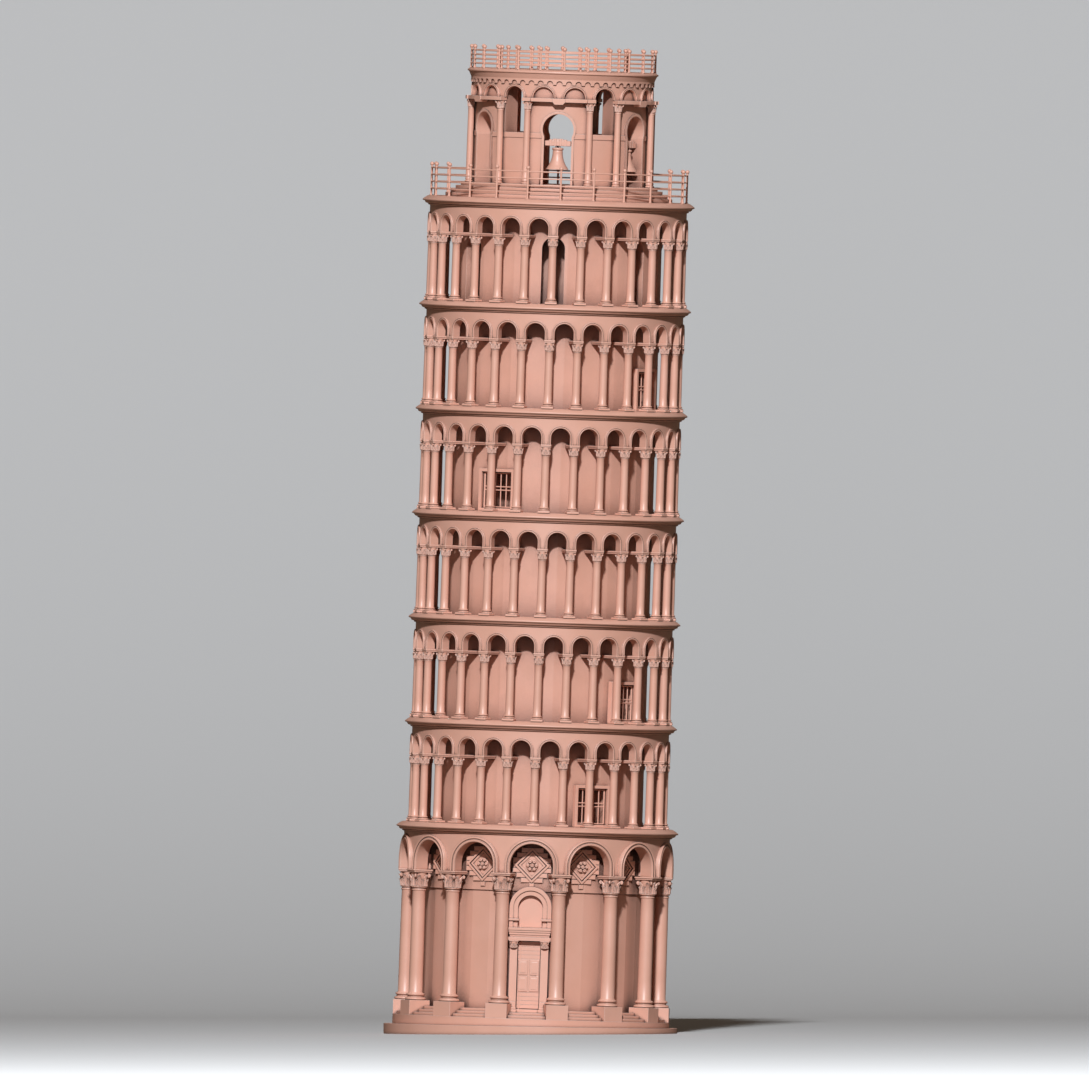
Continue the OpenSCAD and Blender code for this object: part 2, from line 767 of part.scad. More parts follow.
module belfry_beams() {
    beam_in = belfry_wall_r + set_gap;
    corbel_w = 5;
    color("#d9a491") leaning() {
        belfry_column_places() outward(beam_in, belfry_beam_r)
            block(3.4, belfry_beam_z, belfry_arcade_z);
        around(belfry_bays, 0) {
            intersection() {
                ring(beam_in, belfry_beam_r - 0.6, belfry_beam_z, belfry_arcade_z);
                outward(0, big) block(2 * belfry_ring_r * sin(20), belfry_beam_z, belfry_arcade_z);
            }
            outward(beam_in, belfry_beam_r - 0.3)
                polygon([[-corbel_w / 2, belfry_arcade_z], [-corbel_w / 2, belfry_beam_z],
                    [-corbel_w / 3, belfry_beam_z - 1], [corbel_w / 3, belfry_beam_z - 1],
                    [corbel_w / 2, belfry_beam_z], [corbel_w / 2, belfry_arcade_z]]);
        }
    }
}

module belfry_arcade() {
    color("#d49f8b") leaning()
        arcade(belfry_arches, 180 / belfry_arches, belfry_wall_r + set_gap, belfry_arcade_r,
            belfry_arcade_z, belfry_arcade_top, belfry_arch_r, belfry_arcade_z + 0.2, 1, 0.3);
}

module corbel_table() {
    drop = 2.2;
    scallop_r = 1.25;
    r_out = belfry_arcade_r + 0.8;
    color("#dca995") leaning() difference() {
        union() {
            ring(belfry_arcade_r + set_gap, r_out, belfry_arcade_top - drop, belfry_arcade_top);
            translate([0, 0, belfry_arcade_top])
                cylinder(r1 = r_out, r2 = roof_r - 0.5, h = frieze_h, $fn = 144);
        }
        around(corbels, 0) outward(r_out - 3, r_out + past)
            arch_outline(scallop_r, belfry_arcade_top - drop - past, belfry_arcade_top - drop + 0.3);
    }
}

module roof_slab() {
    color("#cf9b86") leaning() translate([0, 0, roof_foot]) rotate_extrude($fn = 144)
        polygon([[0, 0], [roof_r - 0.4, 0], [roof_r, 0.4 * roof_t], [roof_r, 0.7 * roof_t],
            [roof_r - 1, roof_t], [0, roof_t]]);
}

// ---- Railings ----

module railing(r, z, h) {
    spacing = (h - 1.5) / rails_n;
    for (i = [0 : posts - 1]) rotate([0, 0, post_turn + i * 360 / posts])
        translate([0, -r, z]) {
            cylinder(d = post_d, h = h, $fn = 24);
            translate([0, 0, h]) sphere(r = ball_r, $fn = 24);
        }
    for (i = [1 : rails_n])
        ring(r - rail_t / 2, r + rail_t / 2, z + i * spacing - rail_t / 2,
            z + i * spacing + rail_t / 2);
}

module lower_railing() {
    color("#dfae9b") leaning() railing(low_rail_r, terrace_z, low_rail_h);
}

module upper_railing() {
    color("#dfae9b") leaning() for (r = [top_rail_r, inner_rail_r])
        railing(r, roof_top, top_rail_h);
}

// ---- Bells ----

module bell_place(bay) {
    leaning() rotate([0, 0, turn + bay])
        translate([0, -bell_r, belfry_foot + bell_axis_z]) children();
}

crown_z = -headstock_h / 2 - crown_drop;
lip_drop = crown_z - bell_h;
clapper_z = crown_z - clapper_drop;

module headstock(bay) {
    length = bell_opening_w - 2 * leaf_gap;
    color("#d7a28d") bell_place(bay) {
        translate([-length / 2, -headstock_d / 2, -headstock_h / 2])
            cube([length, headstock_d, headstock_h]);
        rotate([0, 90, 0]) cylinder(r = gudgeon_r, h = bell_opening_w + 2 * gudgeon_l,
            center = true, $fn = 24);
    }
}

// The bell's outer outline from crown to lip, drawn inwards by skin
function bell_line(skin) = [
    [0.43 * bell_lip_r - skin, -skin],
    [0.42 * bell_lip_r - skin, -0.2 * bell_h],
    [0.46 * bell_lip_r - skin, -0.42 * bell_h],
    [0.58 * bell_lip_r - skin, -0.64 * bell_h],
    [0.78 * bell_lip_r - skin, -0.84 * bell_h],
    [bell_lip_r - skin, -0.97 * bell_h]];

module bell(bay) {
    color("#e0a98a") bell_place(bay) {
        translate([0, 0, crown_z]) rotate_extrude() polygon(concat(
            [[0, 0]], bell_line(0), [[bell_lip_r, -bell_h], [bell_lip_r - bell_skin, -bell_h]],
            [for (i = [len(bell_line(0)) - 1 : -1 : 0]) bell_line(bell_skin)[i]],
            [[0, -bell_skin]]));
        for (side = [-1, 1]) translate([side * 0.75, 0, crown_z - 0.2])
            cylinder(r = 0.45, h = crown_drop + 0.2, $fn = 24);
        translate([0, 0, crown_z - 0.1]) cylinder(r = 0.47 * bell_lip_r, h = 0.5);
        translate([0, 0, clapper_z]) rotate([0, 90, 0])
            cylinder(r = clapper_pin_r, h = 0.8 * bell_lip_r, center = true, $fn = 24);
    }
}

module clapper(bay) {
    eye_r = clapper_pin_r + pin_clear + 0.3;
    rod_l = bell_h - clapper_drop - 0.6;
    color("#d9a388") bell_place(bay) translate([0, 0, clapper_z]) difference() {
        union() {
            rotate([0, 90, 0]) cylinder(r = eye_r, h = 0.9, center = true, $fn = 24);
            translate([0, 0, -rod_l]) cylinder(r = clapper_rod_r, h = rod_l, $fn = 24);
            translate([0, 0, -rod_l]) sphere(r = clapper_ball_r, $fn = 24);
        }
        rotate([0, 90, 0])
            cylinder(r = clapper_pin_r + pin_clear, h = 2, center = true, $fn = 24);
    }
}

base_plate();
podium();
ground_steps();
pedestals();
ground_core();
ashlar_blocks();
lozenges();
rosettes();
ground_columns();
ground_capitals();
ground_arcade();
portal_frame();
portal_lintel();
portal_arch();
portal_door();
cornice(1);  // cornice_1
cornice(2);  // cornice_2
cornice(3);  // cornice_3
cornice(4);  // cornice_4
cornice(5);  // cornice_5
cornice(6);  // cornice_6
cornice(7);  // cornice_7
gallery_core(1);  // gallery_1_core
gallery_core(2);  // gallery_2_core
gallery_core(3);  // gallery_3_core
gallery_core(4);  // gallery_4_core
gallery_core(5);  // gallery_5_core
gallery_core(6);  // gallery_6_core
gallery_columns(1);  // gallery_1_columns
gallery_columns(2);  // gallery_2_columns
gallery_columns(3);  // gallery_3_columns
gallery_columns(4);  // gallery_4_columns
gallery_columns(5);  // gallery_5_columns
gallery_columns(6);  // gallery_6_columns
gallery_arcade(1);  // gallery_1_arcade
gallery_arcade(2);  // gallery_2_arcade
gallery_arcade(3);  // gallery_3_arcade
gallery_arcade(4);  // gallery_4_arcade
gallery_arcade(5);  // gallery_5_arcade
gallery_arcade(6);  // gallery_6_arcade
gate_frames();
barred_gate(gate_list[0]);  // gate_1
barred_gate(gate_list[1]);  // gate_2
barred_gate(gate_list[2]);  // gate_4
barred_gate(gate_list[3]);  // gate_5
belfry_steps();
belfry_wall();
belfry_columns();
belfry_beams();
belfry_arcade();
corbel_table();
roof_slab();
lower_railing();
upper_railing();
headstock(bell_turns[0]);  // headstock_front
bell(bell_turns[0]);  // bell_front
clapper(bell_turns[0]);  // clapper_front
headstock(bell_turns[1]);  // headstock_right
bell(bell_turns[1]);  // bell_right
clapper(bell_turns[1]);  // clapper_right
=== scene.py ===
"""Looks for a miniature leaning bell tower: a cast, salmon-coloured model whose
columns, capitals, mouldings, bells and railings are built round the packed frame.
All lengths are in metres. Shapes are drawn upright, then leaned with the tower."""
import json
import math

import bmesh
import bpy
import numpy as np
from mathutils import Matrix, Vector


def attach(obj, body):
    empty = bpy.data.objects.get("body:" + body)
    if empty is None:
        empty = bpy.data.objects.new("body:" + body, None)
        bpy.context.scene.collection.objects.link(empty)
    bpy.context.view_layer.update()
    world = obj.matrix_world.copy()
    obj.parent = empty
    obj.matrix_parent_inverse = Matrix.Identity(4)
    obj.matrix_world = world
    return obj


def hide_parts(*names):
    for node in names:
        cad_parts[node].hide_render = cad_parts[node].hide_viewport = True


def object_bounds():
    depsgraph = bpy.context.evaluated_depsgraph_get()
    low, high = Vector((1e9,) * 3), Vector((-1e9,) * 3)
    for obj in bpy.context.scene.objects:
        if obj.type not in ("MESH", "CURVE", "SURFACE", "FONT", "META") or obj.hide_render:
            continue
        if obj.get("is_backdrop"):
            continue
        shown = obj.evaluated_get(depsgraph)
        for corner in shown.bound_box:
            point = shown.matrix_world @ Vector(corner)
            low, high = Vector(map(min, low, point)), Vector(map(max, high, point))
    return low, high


bl_info = {
    "name": "Leaning Bell Tower Miniature",
    "version": (1, 0, 0),
    "blender": (4, 5, 0),
    "location": "View3D > Sidebar > Bell Tower",
    "description": "Builds the looks of a cast miniature bell tower round its frame",
    "category": "Object",
}

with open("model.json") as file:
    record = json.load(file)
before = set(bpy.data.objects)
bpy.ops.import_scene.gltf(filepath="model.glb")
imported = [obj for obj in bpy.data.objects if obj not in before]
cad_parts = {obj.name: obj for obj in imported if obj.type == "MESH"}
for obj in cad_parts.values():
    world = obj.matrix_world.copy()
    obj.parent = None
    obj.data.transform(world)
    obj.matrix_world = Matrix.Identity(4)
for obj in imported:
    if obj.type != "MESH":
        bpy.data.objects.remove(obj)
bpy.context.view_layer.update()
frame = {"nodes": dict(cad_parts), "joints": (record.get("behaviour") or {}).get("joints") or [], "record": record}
MM = 0.001
JOINTS = {joint["name"]: joint for joint in frame["joints"]}
GALLERIES = range(1, 7)
CORNICES = range(1, 8)
GROUND_BAYS, GALLERY_BAYS, BELFRY_BAYS = 14, 28, 18
TO_SIDE = Matrix.Rotation(math.pi / 2, 4, "Y")    # lays an upright axis along X
TO_FRONT = Matrix.Rotation(math.pi / 2, 4, "X")   # lays an upright axis towards -Y


# ---- The tower's own upright frame, read from the packed model ----

AXIS = Vector(JOINTS["door_swing"]["axis"]).normalized()
LEAN = Vector((0, 0, 1)).rotation_difference(AXIS).to_matrix().to_4x4()
UPRIGHT = LEAN.inverted()


def upright_points(node):
    """A node's points in the tower's upright frame."""
    mesh = frame["nodes"][node].data
    points = np.empty(len(mesh.vertices) * 3)
    mesh.vertices.foreach_get("co", points)
    return points.reshape(-1, 3) @ np.array(UPRIGHT.to_3x3()).T


def span(values):
    """Smallest and largest of some values."""
    return float(values.min()), float(values.max())


def heights(node):
    """Lowest and highest point of a node along the tower's axis."""
    return span(upright_points(node)[:, 2])


def reach(node, pick=None):
    """Smallest and largest distance of a node's points from the tower's axis."""
    points = upright_points(node)
    if pick is not None:
        points = points[pick(points)]
    return span(np.hypot(points[:, 0], points[:, 1]))


def joint_spot(name):
    """A joint's place in the upright frame."""
    return UPRIGHT @ Vector(JOINTS[name]["pos_m"])


def bearing(spot):
    """Direction of a spot round the axis: 0 is -Y, and it grows towards +X."""
    return math.atan2(spot.x, -spot.y)


TURN = bearing(joint_spot("bell_front_swing"))


def at(x, y, z):
    """A move to a spot."""
    return Matrix.Translation((x, y, z))


def spin(angle):
    """A turn round the upright axis."""
    return Matrix.Rotation(angle, 4, "Z")


def ring_radius(node, count, first):
    """Distance of a ring of feet from the axis, from the foot nearest the front."""
    points = upright_points(node)
    low = points[points[:, 2] < points[:, 2].min() + 0.05 * MM]
    angle = TURN + first
    out = low[:, 0] * math.sin(angle) - low[:, 1] * math.cos(angle)
    side = low[:, 0] * math.cos(angle) + low[:, 1] * math.sin(angle)
    near = (np.abs(side) < out.max() * math.sin(math.pi / count) * 0.9) & (out > 0)
    return float(out[near].min() + out[near].max()) / 2


def ring_radii(points):
    """The distances from the axis at which points gather in rings."""
    r = np.sort(np.hypot(points[:, 0], points[:, 1]))
    return [float(ring.mean()) for ring in np.split(r, np.nonzero(np.diff(r) > MM)[0] + 1)]


def arch_sizes(node, count, first):
    """Opening, outer radius, foot, spring and front face of a row of banded arches."""
    points = upright_points(node) @ np.array(Matrix.Rotation(TURN + first, 3, "Z"))
    side, out = np.abs(points[:, 0]), -points[:, 1]
    bay = (out > 0) & (side < out * math.tan(math.pi / count))
    face = float(out[bay].max())
    front = bay & (out > face - 0.25 * MM)
    side, z = side[front], points[front, 2]
    foot, outer = float(z.min()), float(side.max())
    opening = float(side[z < foot + 0.1 * MM].min())
    return opening, outer, foot, float(z.max()) - outer, face


# ---- Shapes ----

class Shape:
    """Points and faces of one piece, gathered in the tower's upright frame."""

    def __init__(self):
        self.points = []
        self.faces = []
        self.count = 0

    def add(self, points, faces, place=None):
        """Take in points and their faces, moved by place."""
        block = np.asarray(points, dtype=float)
        if place is not None:
            m = np.array(place)
            block = block @ m[:3, :3].T + m[:3, 3]
        self.faces.extend([tuple(i + self.count for i in face) for face in faces])
        self.points.append(block)
        self.count += len(block)
        return self

    def join(self, other, place=None):
        """Take in another shape once."""
        return self.add(np.concatenate(other.points), other.faces, place)

    def repeat(self, other, places):
        """Take in another shape once at every place."""
        points = np.concatenate(other.points)
        for place in places:
            self.add(points, other.faces, place)
        return self


def piece(name, shape, body, slot, *stands_for, place=None, sharp=38):
    """One finished object from a shape: placed, leaned, shaded and riding its body.

    It stands for the named nodes of the frame, and has the material of its slot."""
    whole = Shape().join(shape, place)
    points = whole.points[0] @ np.array(LEAN.to_3x3()).T
    mesh = bpy.data.meshes.new(name)
    mesh.from_pydata(points.tolist(), [], whole.faces)
    mesh.validate()
    tidy = bmesh.new()
    tidy.from_mesh(mesh)
    bmesh.ops.recalc_face_normals(tidy, faces=tidy.faces)
    tidy.to_mesh(mesh)
    tidy.free()
    mesh.shade_smooth()
    mesh.set_sharp_from_angle(angle=math.radians(sharp))
    obj = bpy.data.objects.new(name, mesh)
    bpy.context.collection.objects.link(obj)
    mesh.materials.append(cast(slot))
    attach(obj, body)
    if stands_for:
        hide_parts(*stands_for)


def around(count, first, radius=0.0, z=0.0):
    """Places of a ring of like pieces, each facing outwards along its own -Y."""
    for i in range(count):
        turn = spin(TURN + first + i * math.tau / count)
        yield turn @ at(0, -radius, z)


def lathe(profile, segments):
    """A closed turned shape from an outline of (radius, height), axis to axis."""
    on_axis = 1e-7
    points, rows = [], []
    for r, z in profile:
        if r < on_axis:
            rows.append([len(points)])
            points.append((0, 0, z))
            continue
        rows.append(list(range(len(points), len(points) + segments)))
        for i in range(segments):
            a = i * math.tau / segments
            points.append((r * math.cos(a), r * math.sin(a), z))
    faces = []
    for low, high in zip(rows, rows[1:]):
        for i in range(segments):
            j = (i + 1) % segments
            quad = [low[i % len(low)], low[j % len(low)],
                    high[j % len(high)], high[i % len(high)]]
            flat = list(dict.fromkeys(quad))
            if len(flat) > 2:
                faces.append(tuple(flat))
    return Shape().add(points, faces)


def bands(rows, n, closed=False):
    """Faces between rows of n points, each row joined to the next."""
    pairs = [(i, (i + 1) % rows) for i in range(rows if closed else rows - 1)]
    return [(a * n + k, a * n + (k + 1) % n, b * n + (k + 1) % n, b * n + k)
            for a, b in pairs for k in range(n)]


def hoop(profile, segments):
    """A closed ring turned from a closed outline of (radius, height)."""
    points = []
    for i in range(segments):
        a = i * math.tau / segments
        points += [(r * math.cos(a), r * math.sin(a), z) for r, z in profile]
    return Shape().add(points, bands(segments, len(profile), closed=True))


def tube_ring(radius, z, bar, segments, sides=10):
    """A round bar bent into a ring."""
    outline = [(radius + bar * math.cos(k * math.tau / sides),
                z + bar * math.sin(k * math.tau / sides)) for k in range(sides)]
    return hoop(outline, segments)


def roll(r, z0, z1, out, steps=6):
    """Outline points of a rounded roll, or of a hollow where out is negative."""
    return [(r + out * math.sin(math.pi * k / steps),
             (z0 + z1) / 2 - (z1 - z0) / 2 * math.cos(math.pi * k / steps))
            for k in range(steps + 1)]


def slab(x, y, z, edge=0.0):
    """A block between pairs of limits, with its edges cut back by edge."""
    levels = [(edge, z[0]), (0, z[0] + edge), (0, z[1] - edge), (edge, z[1])]
    if edge == 0:
        levels = [(0, z[0]), (0, z[1])]
    points = []
    for inset, height in levels:
        x0, x1, y0, y1 = x[0] + inset, x[1] - inset, y[0] + inset, y[1] - inset
        corners = [(x0 + edge, y0), (x1 - edge, y0), (x1, y0 + edge), (x1, y1 - edge),
                   (x1 - edge, y1), (x0 + edge, y1), (x0, y1 - edge), (x0, y0 + edge)]
        points += [(*corner, height) for corner in dict.fromkeys(corners)]
    n = len(points) // len(levels)
    ends = [tuple(range(n))[::-1], tuple(range(len(points) - n, len(points)))]
    return Shape().add(points, bands(len(levels), n) + ends)


def ball(radius, z, segments=14, rows=8):
    """A round ball on the axis, its middle at z."""
    return lathe([(radius * math.sin(math.pi * k / rows),
                   z - radius * math.cos(math.pi * k / rows)) for k in range(rows + 1)],
                 segments)


# ---- Carved parts ----

def leaf(width, height, foot_r, curl, thick, rows=6, cols=6):
    """One carved leaf that climbs a capital's flare and curls out at its tip."""
    front, back = [], []
    for j in range(rows + 1):
        v = j / rows
        half = width / 2 * (1 - 0.25 * v) * math.sqrt(max(0.0, 1 - v ** 4)) + 0.04 * width
        half *= 1 + 0.12 * math.cos(v * 3 * math.tau)
        out = foot_r + curl * v ** 3
        z = height * (v - 0.12 * v ** 4)
        for i in range(cols + 1):
            u = 2 * i / cols - 1
            crease = thick * (0.9 - 0.9 * abs(u)) + thick * 0.5 * math.cos(u * math.tau * 1.5)
            a = u * half / foot_r
            r = out + crease
            front.append((r * math.sin(a), -r * math.cos(a), z))
            r = out - thick * 1.2
            back.append((r * math.sin(a), -r * math.cos(a), z))
    n = len(front)
    faces, w = [], cols + 1
    for j in range(rows):
        for i in range(cols):
            a, b, c, d = j * w + i, j * w + i + 1, (j + 1) * w + i + 1, (j + 1) * w + i
            faces += [(a, b, c, d), (n + a, n + d, n + c, n + b)]
    rim = (list(range(w)) + [j * w + cols for j in range(1, rows + 1)]
           + [rows * w + i for i in range(cols - 1, -1, -1)]
           + [j * w for j in range(rows - 1, 0, -1)])
    faces += [(rim[k], n + rim[k], n + rim[(k + 1) % len(rim)], rim[(k + 1) % len(rim)])
              for k in range(len(rim))]
    return Shape().add(front + back, faces)


def scroll(radius, thick, segments=12):
    """A small rolled scroll, its axis across the corner that it hangs from."""
    outline = [(0, -thick / 2), (radius * 0.8, -thick / 2), (radius, -thick * 0.3),
               (radius, thick * 0.3), (radius * 0.8, thick / 2), (radius * 0.5, thick * 0.35),
               (radius * 0.3, thick * 0.6), (0, thick * 0.6)]
    return Shape().join(lathe(outline, segments), TO_SIDE)


def capital(neck_r, top_r, height, tiers, leaves):
    """A leafed capital standing on z = 0: a flared core, tiers of leaves, scrolls."""
    shape = lathe([(0, 0), (neck_r * 1.14, 0),
                   *roll(neck_r * 1.06, 0, 0.1 * height, 0.12 * neck_r),
                   (neck_r, 0.14 * height), (neck_r * 1.02, 0.4 * height),
                   (neck_r * 1.16, 0.72 * height), (top_r * 0.94, 0.9 * height),
                   (top_r * 0.94, height), (0, height)], 24)
    lift = at(0, 0, 0.1 * height)
    for tier in range(tiers):
        share = 0.5 + 0.34 * tier / (tiers - 1) if tiers > 1 else 0.72
        one = leaf(width=math.tau * neck_r / leaves * 0.9, height=height * share,
                   foot_r=neck_r * (1.08 + 0.04 * tier),
                   curl=(top_r - neck_r) * (0.75 + 0.3 * tier), thick=0.13 * neck_r)
        for i in range(leaves):
            turn = spin((i + 0.5 * tier) * math.tau / leaves)
            shape.join(one, turn @ lift)
    corner = scroll(radius=0.14 * height, thick=0.26 * neck_r)
    for i in range(4):
        turn = spin((i + 0.5) * math.tau / 4)
        shape.join(corner, turn @ at(0, -top_r * 1.12, 0.8 * height))
    return shape


def column_shaft(foot_r, shaft_r, top_r, base_h, total):
    """A turned base of two rolls and a hollow, under a shaft that swells slightly."""
    lower, upper = 0.36 * base_h, 0.3 * base_h
    outline = [(0, 0), (foot_r * 0.96, 0), *roll(foot_r * 0.9, 0, lower, 0.1 * foot_r),
               (foot_r * 0.84, lower + 0.04 * base_h),
               *roll(foot_r * 0.8, lower + 0.06 * base_h, lower + 0.24 * base_h,
                     -0.06 * foot_r, 4),
               (foot_r * 0.82, lower + 0.26 * base_h),
               *roll(foot_r * 0.8, lower + 0.28 * base_h, lower + 0.28 * base_h + upper,
                     0.08 * foot_r),
               (shaft_r * 1.1, 0.97 * base_h), (shaft_r, base_h * 1.12)]
    drums = 6
    for k in range(1, drums + 1):
        t = k / drums
        swell = 0.012 * shaft_r * math.sin(math.pi * t)
        outline.append((shaft_r + (top_r - shaft_r) * t + swell,
                        base_h + (total - base_h) * (0.03 + 0.94 * t)))
    outline += [*roll(top_r * 1.02, 0.975 * total, 0.99 * total, 0.1 * top_r, 4),
                (top_r, 0.995 * total), (top_r, total), (0, total)]
    return lathe(outline, 28)


# ---- Shader node groups ----

RAYS = 6    # samples of a recess or an edge


def new_group(name, inputs, outputs):
    """An empty shader group with its sockets, and its two end nodes."""
    group = bpy.data.node_groups.new(name, "ShaderNodeTree")
    for label, kind, value in inputs:
        socket = group.interface.new_socket(label, in_out="INPUT", socket_type=kind)
        socket.default_value = value
    for label, kind in outputs:
        group.interface.new_socket(label, in_out="OUTPUT", socket_type=kind)
    return group, group.nodes.new("NodeGroupInput"), group.nodes.new("NodeGroupOutput")


def math_node(tree, operation, first, second, clamp=False):
    """Output of a sum on two sockets or numbers."""
    node = tree.nodes.new("ShaderNodeMath")
    node.operation, node.use_clamp = operation, clamp
    for socket, value in zip(node.inputs, (first, second)):
        if isinstance(value, (int, float)):
            socket.default_value = value
        else:
            tree.links.new(value, socket)
    return node.outputs[0]


def mix_colour(tree, factor, first, second):
    """Output of a mix from the first colour to the second."""
    node = tree.nodes.new("ShaderNodeMix")
    node.data_type, node.clamp_factor = "RGBA", True
    for socket, value in ((node.inputs[0], factor), (node.inputs[6], first),
                          (node.inputs[7], second)):
        if isinstance(value, (int, float, tuple)):
            socket.default_value = value
        else:
            tree.links.new(value, socket)
    return node.outputs[2]


def ramp(tree, value, low, high):
    """Output that climbs smoothly from 0 to 1 between two limits."""
    node = tree.nodes.new("ShaderNodeMapRange")
    node.interpolation_type, node.clamp = "SMOOTHSTEP", True
    tree.links.new(value, node.inputs["Value"])
    for label, limit in (("From Min", low), ("From Max", high)):
        if isinstance(limit, (int, float)):
            node.inputs[label].default_value = limit
        else:
            tree.links.new(limit, node.inputs[label])
    return node.outputs["Result"]


def noise(tree, scale, detail, rough=0.55):
    """Output of a cloudy pattern fixed to the object."""
    place = tree.nodes.new("ShaderNodeTexCoord")
    node = tree.nodes.new("ShaderNodeTexNoise")
    node.inputs["Scale"].default_value = scale
    node.inputs["Detail"].default_value = detail
    node.inputs["Roughness"].default_value = rough
    tree.links.new(place.outputs["Object"], node.inputs["Vector"])
    return node.outputs["Fac"]


def make_painted_shade_group():
    """Mask of painted shade from ambient occlusion: 1 deep in a recess, 0 on open faces."""
    group, enter, leave = new_group(
        "painted_recess_shade", [("Reach", "NodeSocketFloat", 1.2 * MM),
                        ("Start", "NodeSocketFloat", 0.12)],
        [("Mask", "NodeSocketFloat")])
    full = 0.78
    near = group.nodes.new("ShaderNodeAmbientOcclusion")
    near.samples = RAYS
    group.links.new(enter.outputs["Reach"], near.inputs["Distance"])
    closed = math_node(group, "SUBTRACT", 1.0, near.outputs["AO"])
    group.links.new(ramp(group, closed, enter.outputs["Start"], full), leave.inputs["Mask"])
    return group


def make_edge_group():
    """Softened normal of the cast edges, and a mask of the edges for a painted highlight."""
    group, enter, leave = new_group(
        "soft_edge_painted_highlight", [("Radius", "NodeSocketFloat", 0.18 * MM)],
        [("Mask", "NodeSocketFloat"), ("Normal", "NodeSocketVector")])
    soft = group.nodes.new("ShaderNodeBevel")
    soft.samples = RAYS
    group.links.new(enter.outputs["Radius"], soft.inputs["Radius"])
    plain = group.nodes.new("ShaderNodeNewGeometry")
    dot = group.nodes.new("ShaderNodeVectorMath")
    dot.operation = "DOT_PRODUCT"
    group.links.new(soft.outputs["Normal"], dot.inputs[0])
    group.links.new(plain.outputs["Normal"], dot.inputs[1])
    flat, sharp = 0.02, 0.2
    bend = math_node(group, "SUBTRACT", 1.0, dot.outputs["Value"])
    group.links.new(ramp(group, bend, flat, sharp), leave.inputs["Mask"])
    group.links.new(soft.outputs["Normal"], leave.inputs["Normal"])
    return group


def make_grain_group():
    """Fine casting grain: a height for the bump and a slow mottling of the colour."""
    group, enter, leave = new_group(
        "cast_grain", [("Fine", "NodeSocketFloat", 1.0)],
        [("Height", "NodeSocketFloat"), ("Mottle", "NodeSocketFloat")])
    fine = noise(group, scale=2600, detail=3, rough=0.6)
    coarse = noise(group, scale=500, detail=4, rough=0.5)
    patches = noise(group, scale=90, detail=5)
    height = math_node(group, "ADD", math_node(group, "MULTIPLY", fine, enter.outputs["Fine"]),
                       math_node(group, "MULTIPLY", coarse, 0.6))
    group.links.new(height, leave.inputs["Height"])
    group.links.new(ramp(group, patches, 0.32, 0.7), leave.inputs["Mottle"])
    return group


def place_group(tree, group, values):
    """A group's node in a material, with the material's own values."""
    node = tree.nodes.new("ShaderNodeGroup")
    node.node_tree = group
    for label, value in values.items():
        node.inputs[label].default_value = value
    return node


def cast_material(name, look, groups, tint=1.0, reach_mm=1.2, start=0.12, edge_mm=0.18):
    """The tower's cast body: salmon, with painted shade in its recesses and a painted highlight on its edges."""
    highlighted, dulled = 0.9, 0.3    # strength of the painted edge highlight, and of the dullness in the painted-shade recesses
    material = bpy.data.materials.new(name)
    material.use_nodes = True
    tree = material.node_tree
    shader = tree.nodes["Principled BSDF"]
    recess = place_group(tree, groups["recess"], {"Reach": reach_mm * MM, "Start": start})
    edge_highlight = place_group(tree, groups["edge"], {"Radius": edge_mm * MM})
    grain = place_group(tree, groups["grain"], {"Fine": 1.0})
    body = tuple(min(1.0, c * tint) for c in look.body_colour) + (1.0,)
    warm = tuple(min(1.0, c * tint) for c in look.mottle_colour) + (1.0,)
    colour = mix_colour(tree, grain.outputs["Mottle"], body, warm)
    # painted highlight: open edges, away from the recesses, are lightened towards the highlight colour
    open_edge = math_node(tree, "MULTIPLY", edge_highlight.outputs["Mask"],
                          math_node(tree, "SUBTRACT", 1.0, recess.outputs["Mask"], True), True)
    colour = mix_colour(tree, math_node(tree, "MULTIPLY", open_edge, highlighted), colour,
                        tuple(look.painted_highlight_colour) + (1.0,))
    # painted shade: the colour darkens to the painted shade colour where the occlusion mask finds a recess
    colour = mix_colour(tree, recess.outputs["Mask"], colour, tuple(look.painted_shade_colour) + (1.0,))
    tree.links.new(colour, shader.inputs["Base Color"])
    dull = math_node(tree, "MULTIPLY", recess.outputs["Mask"], dulled)
    tree.links.new(math_node(tree, "ADD", dull, look.roughness, True),
                   shader.inputs["Roughness"])
    bump = tree.nodes.new("ShaderNodeBump")
    bump.inputs["Strength"].default_value = look.grain_strength
    bump.inputs["Distance"].default_value = 0.02 * MM
    tree.links.new(grain.outputs["Height"], bump.inputs["Height"])
    tree.links.new(edge_highlight.outputs["Normal"], bump.inputs["Normal"])
    tree.links.new(bump.outputs["Normal"], shader.inputs["Normal"])
    shader.inputs["Specular IOR Level"].default_value = look.gloss
    return material


# reach_mm and start set each slot's painted shade in recesses; edge_mm sets its softened edges and their painted
# highlight
FINISHES = {
    "cast_walls": dict(tint=0.97, reach_mm=12, start=0.34),
    "cast_columns": dict(tint=1.03, reach_mm=1.0, start=0.2),
    "cast_arcades": dict(tint=0.99, reach_mm=1.8, start=0.2),
    "cast_cornices": dict(tint=1.0, reach_mm=2.2, start=0.2),
    "cast_rails": dict(tint=1.05, reach_mm=0.6, edge_mm=0.08),
    "cast_bells": dict(tint=1.0, reach_mm=1.2, edge_mm=0.1),
    "cast_gates": dict(tint=1.02, reach_mm=1.0, edge_mm=0.1),
    "cast_ornament": dict(tint=1.04, reach_mm=0.9, edge_mm=0.14),
}
MATERIALS = {}


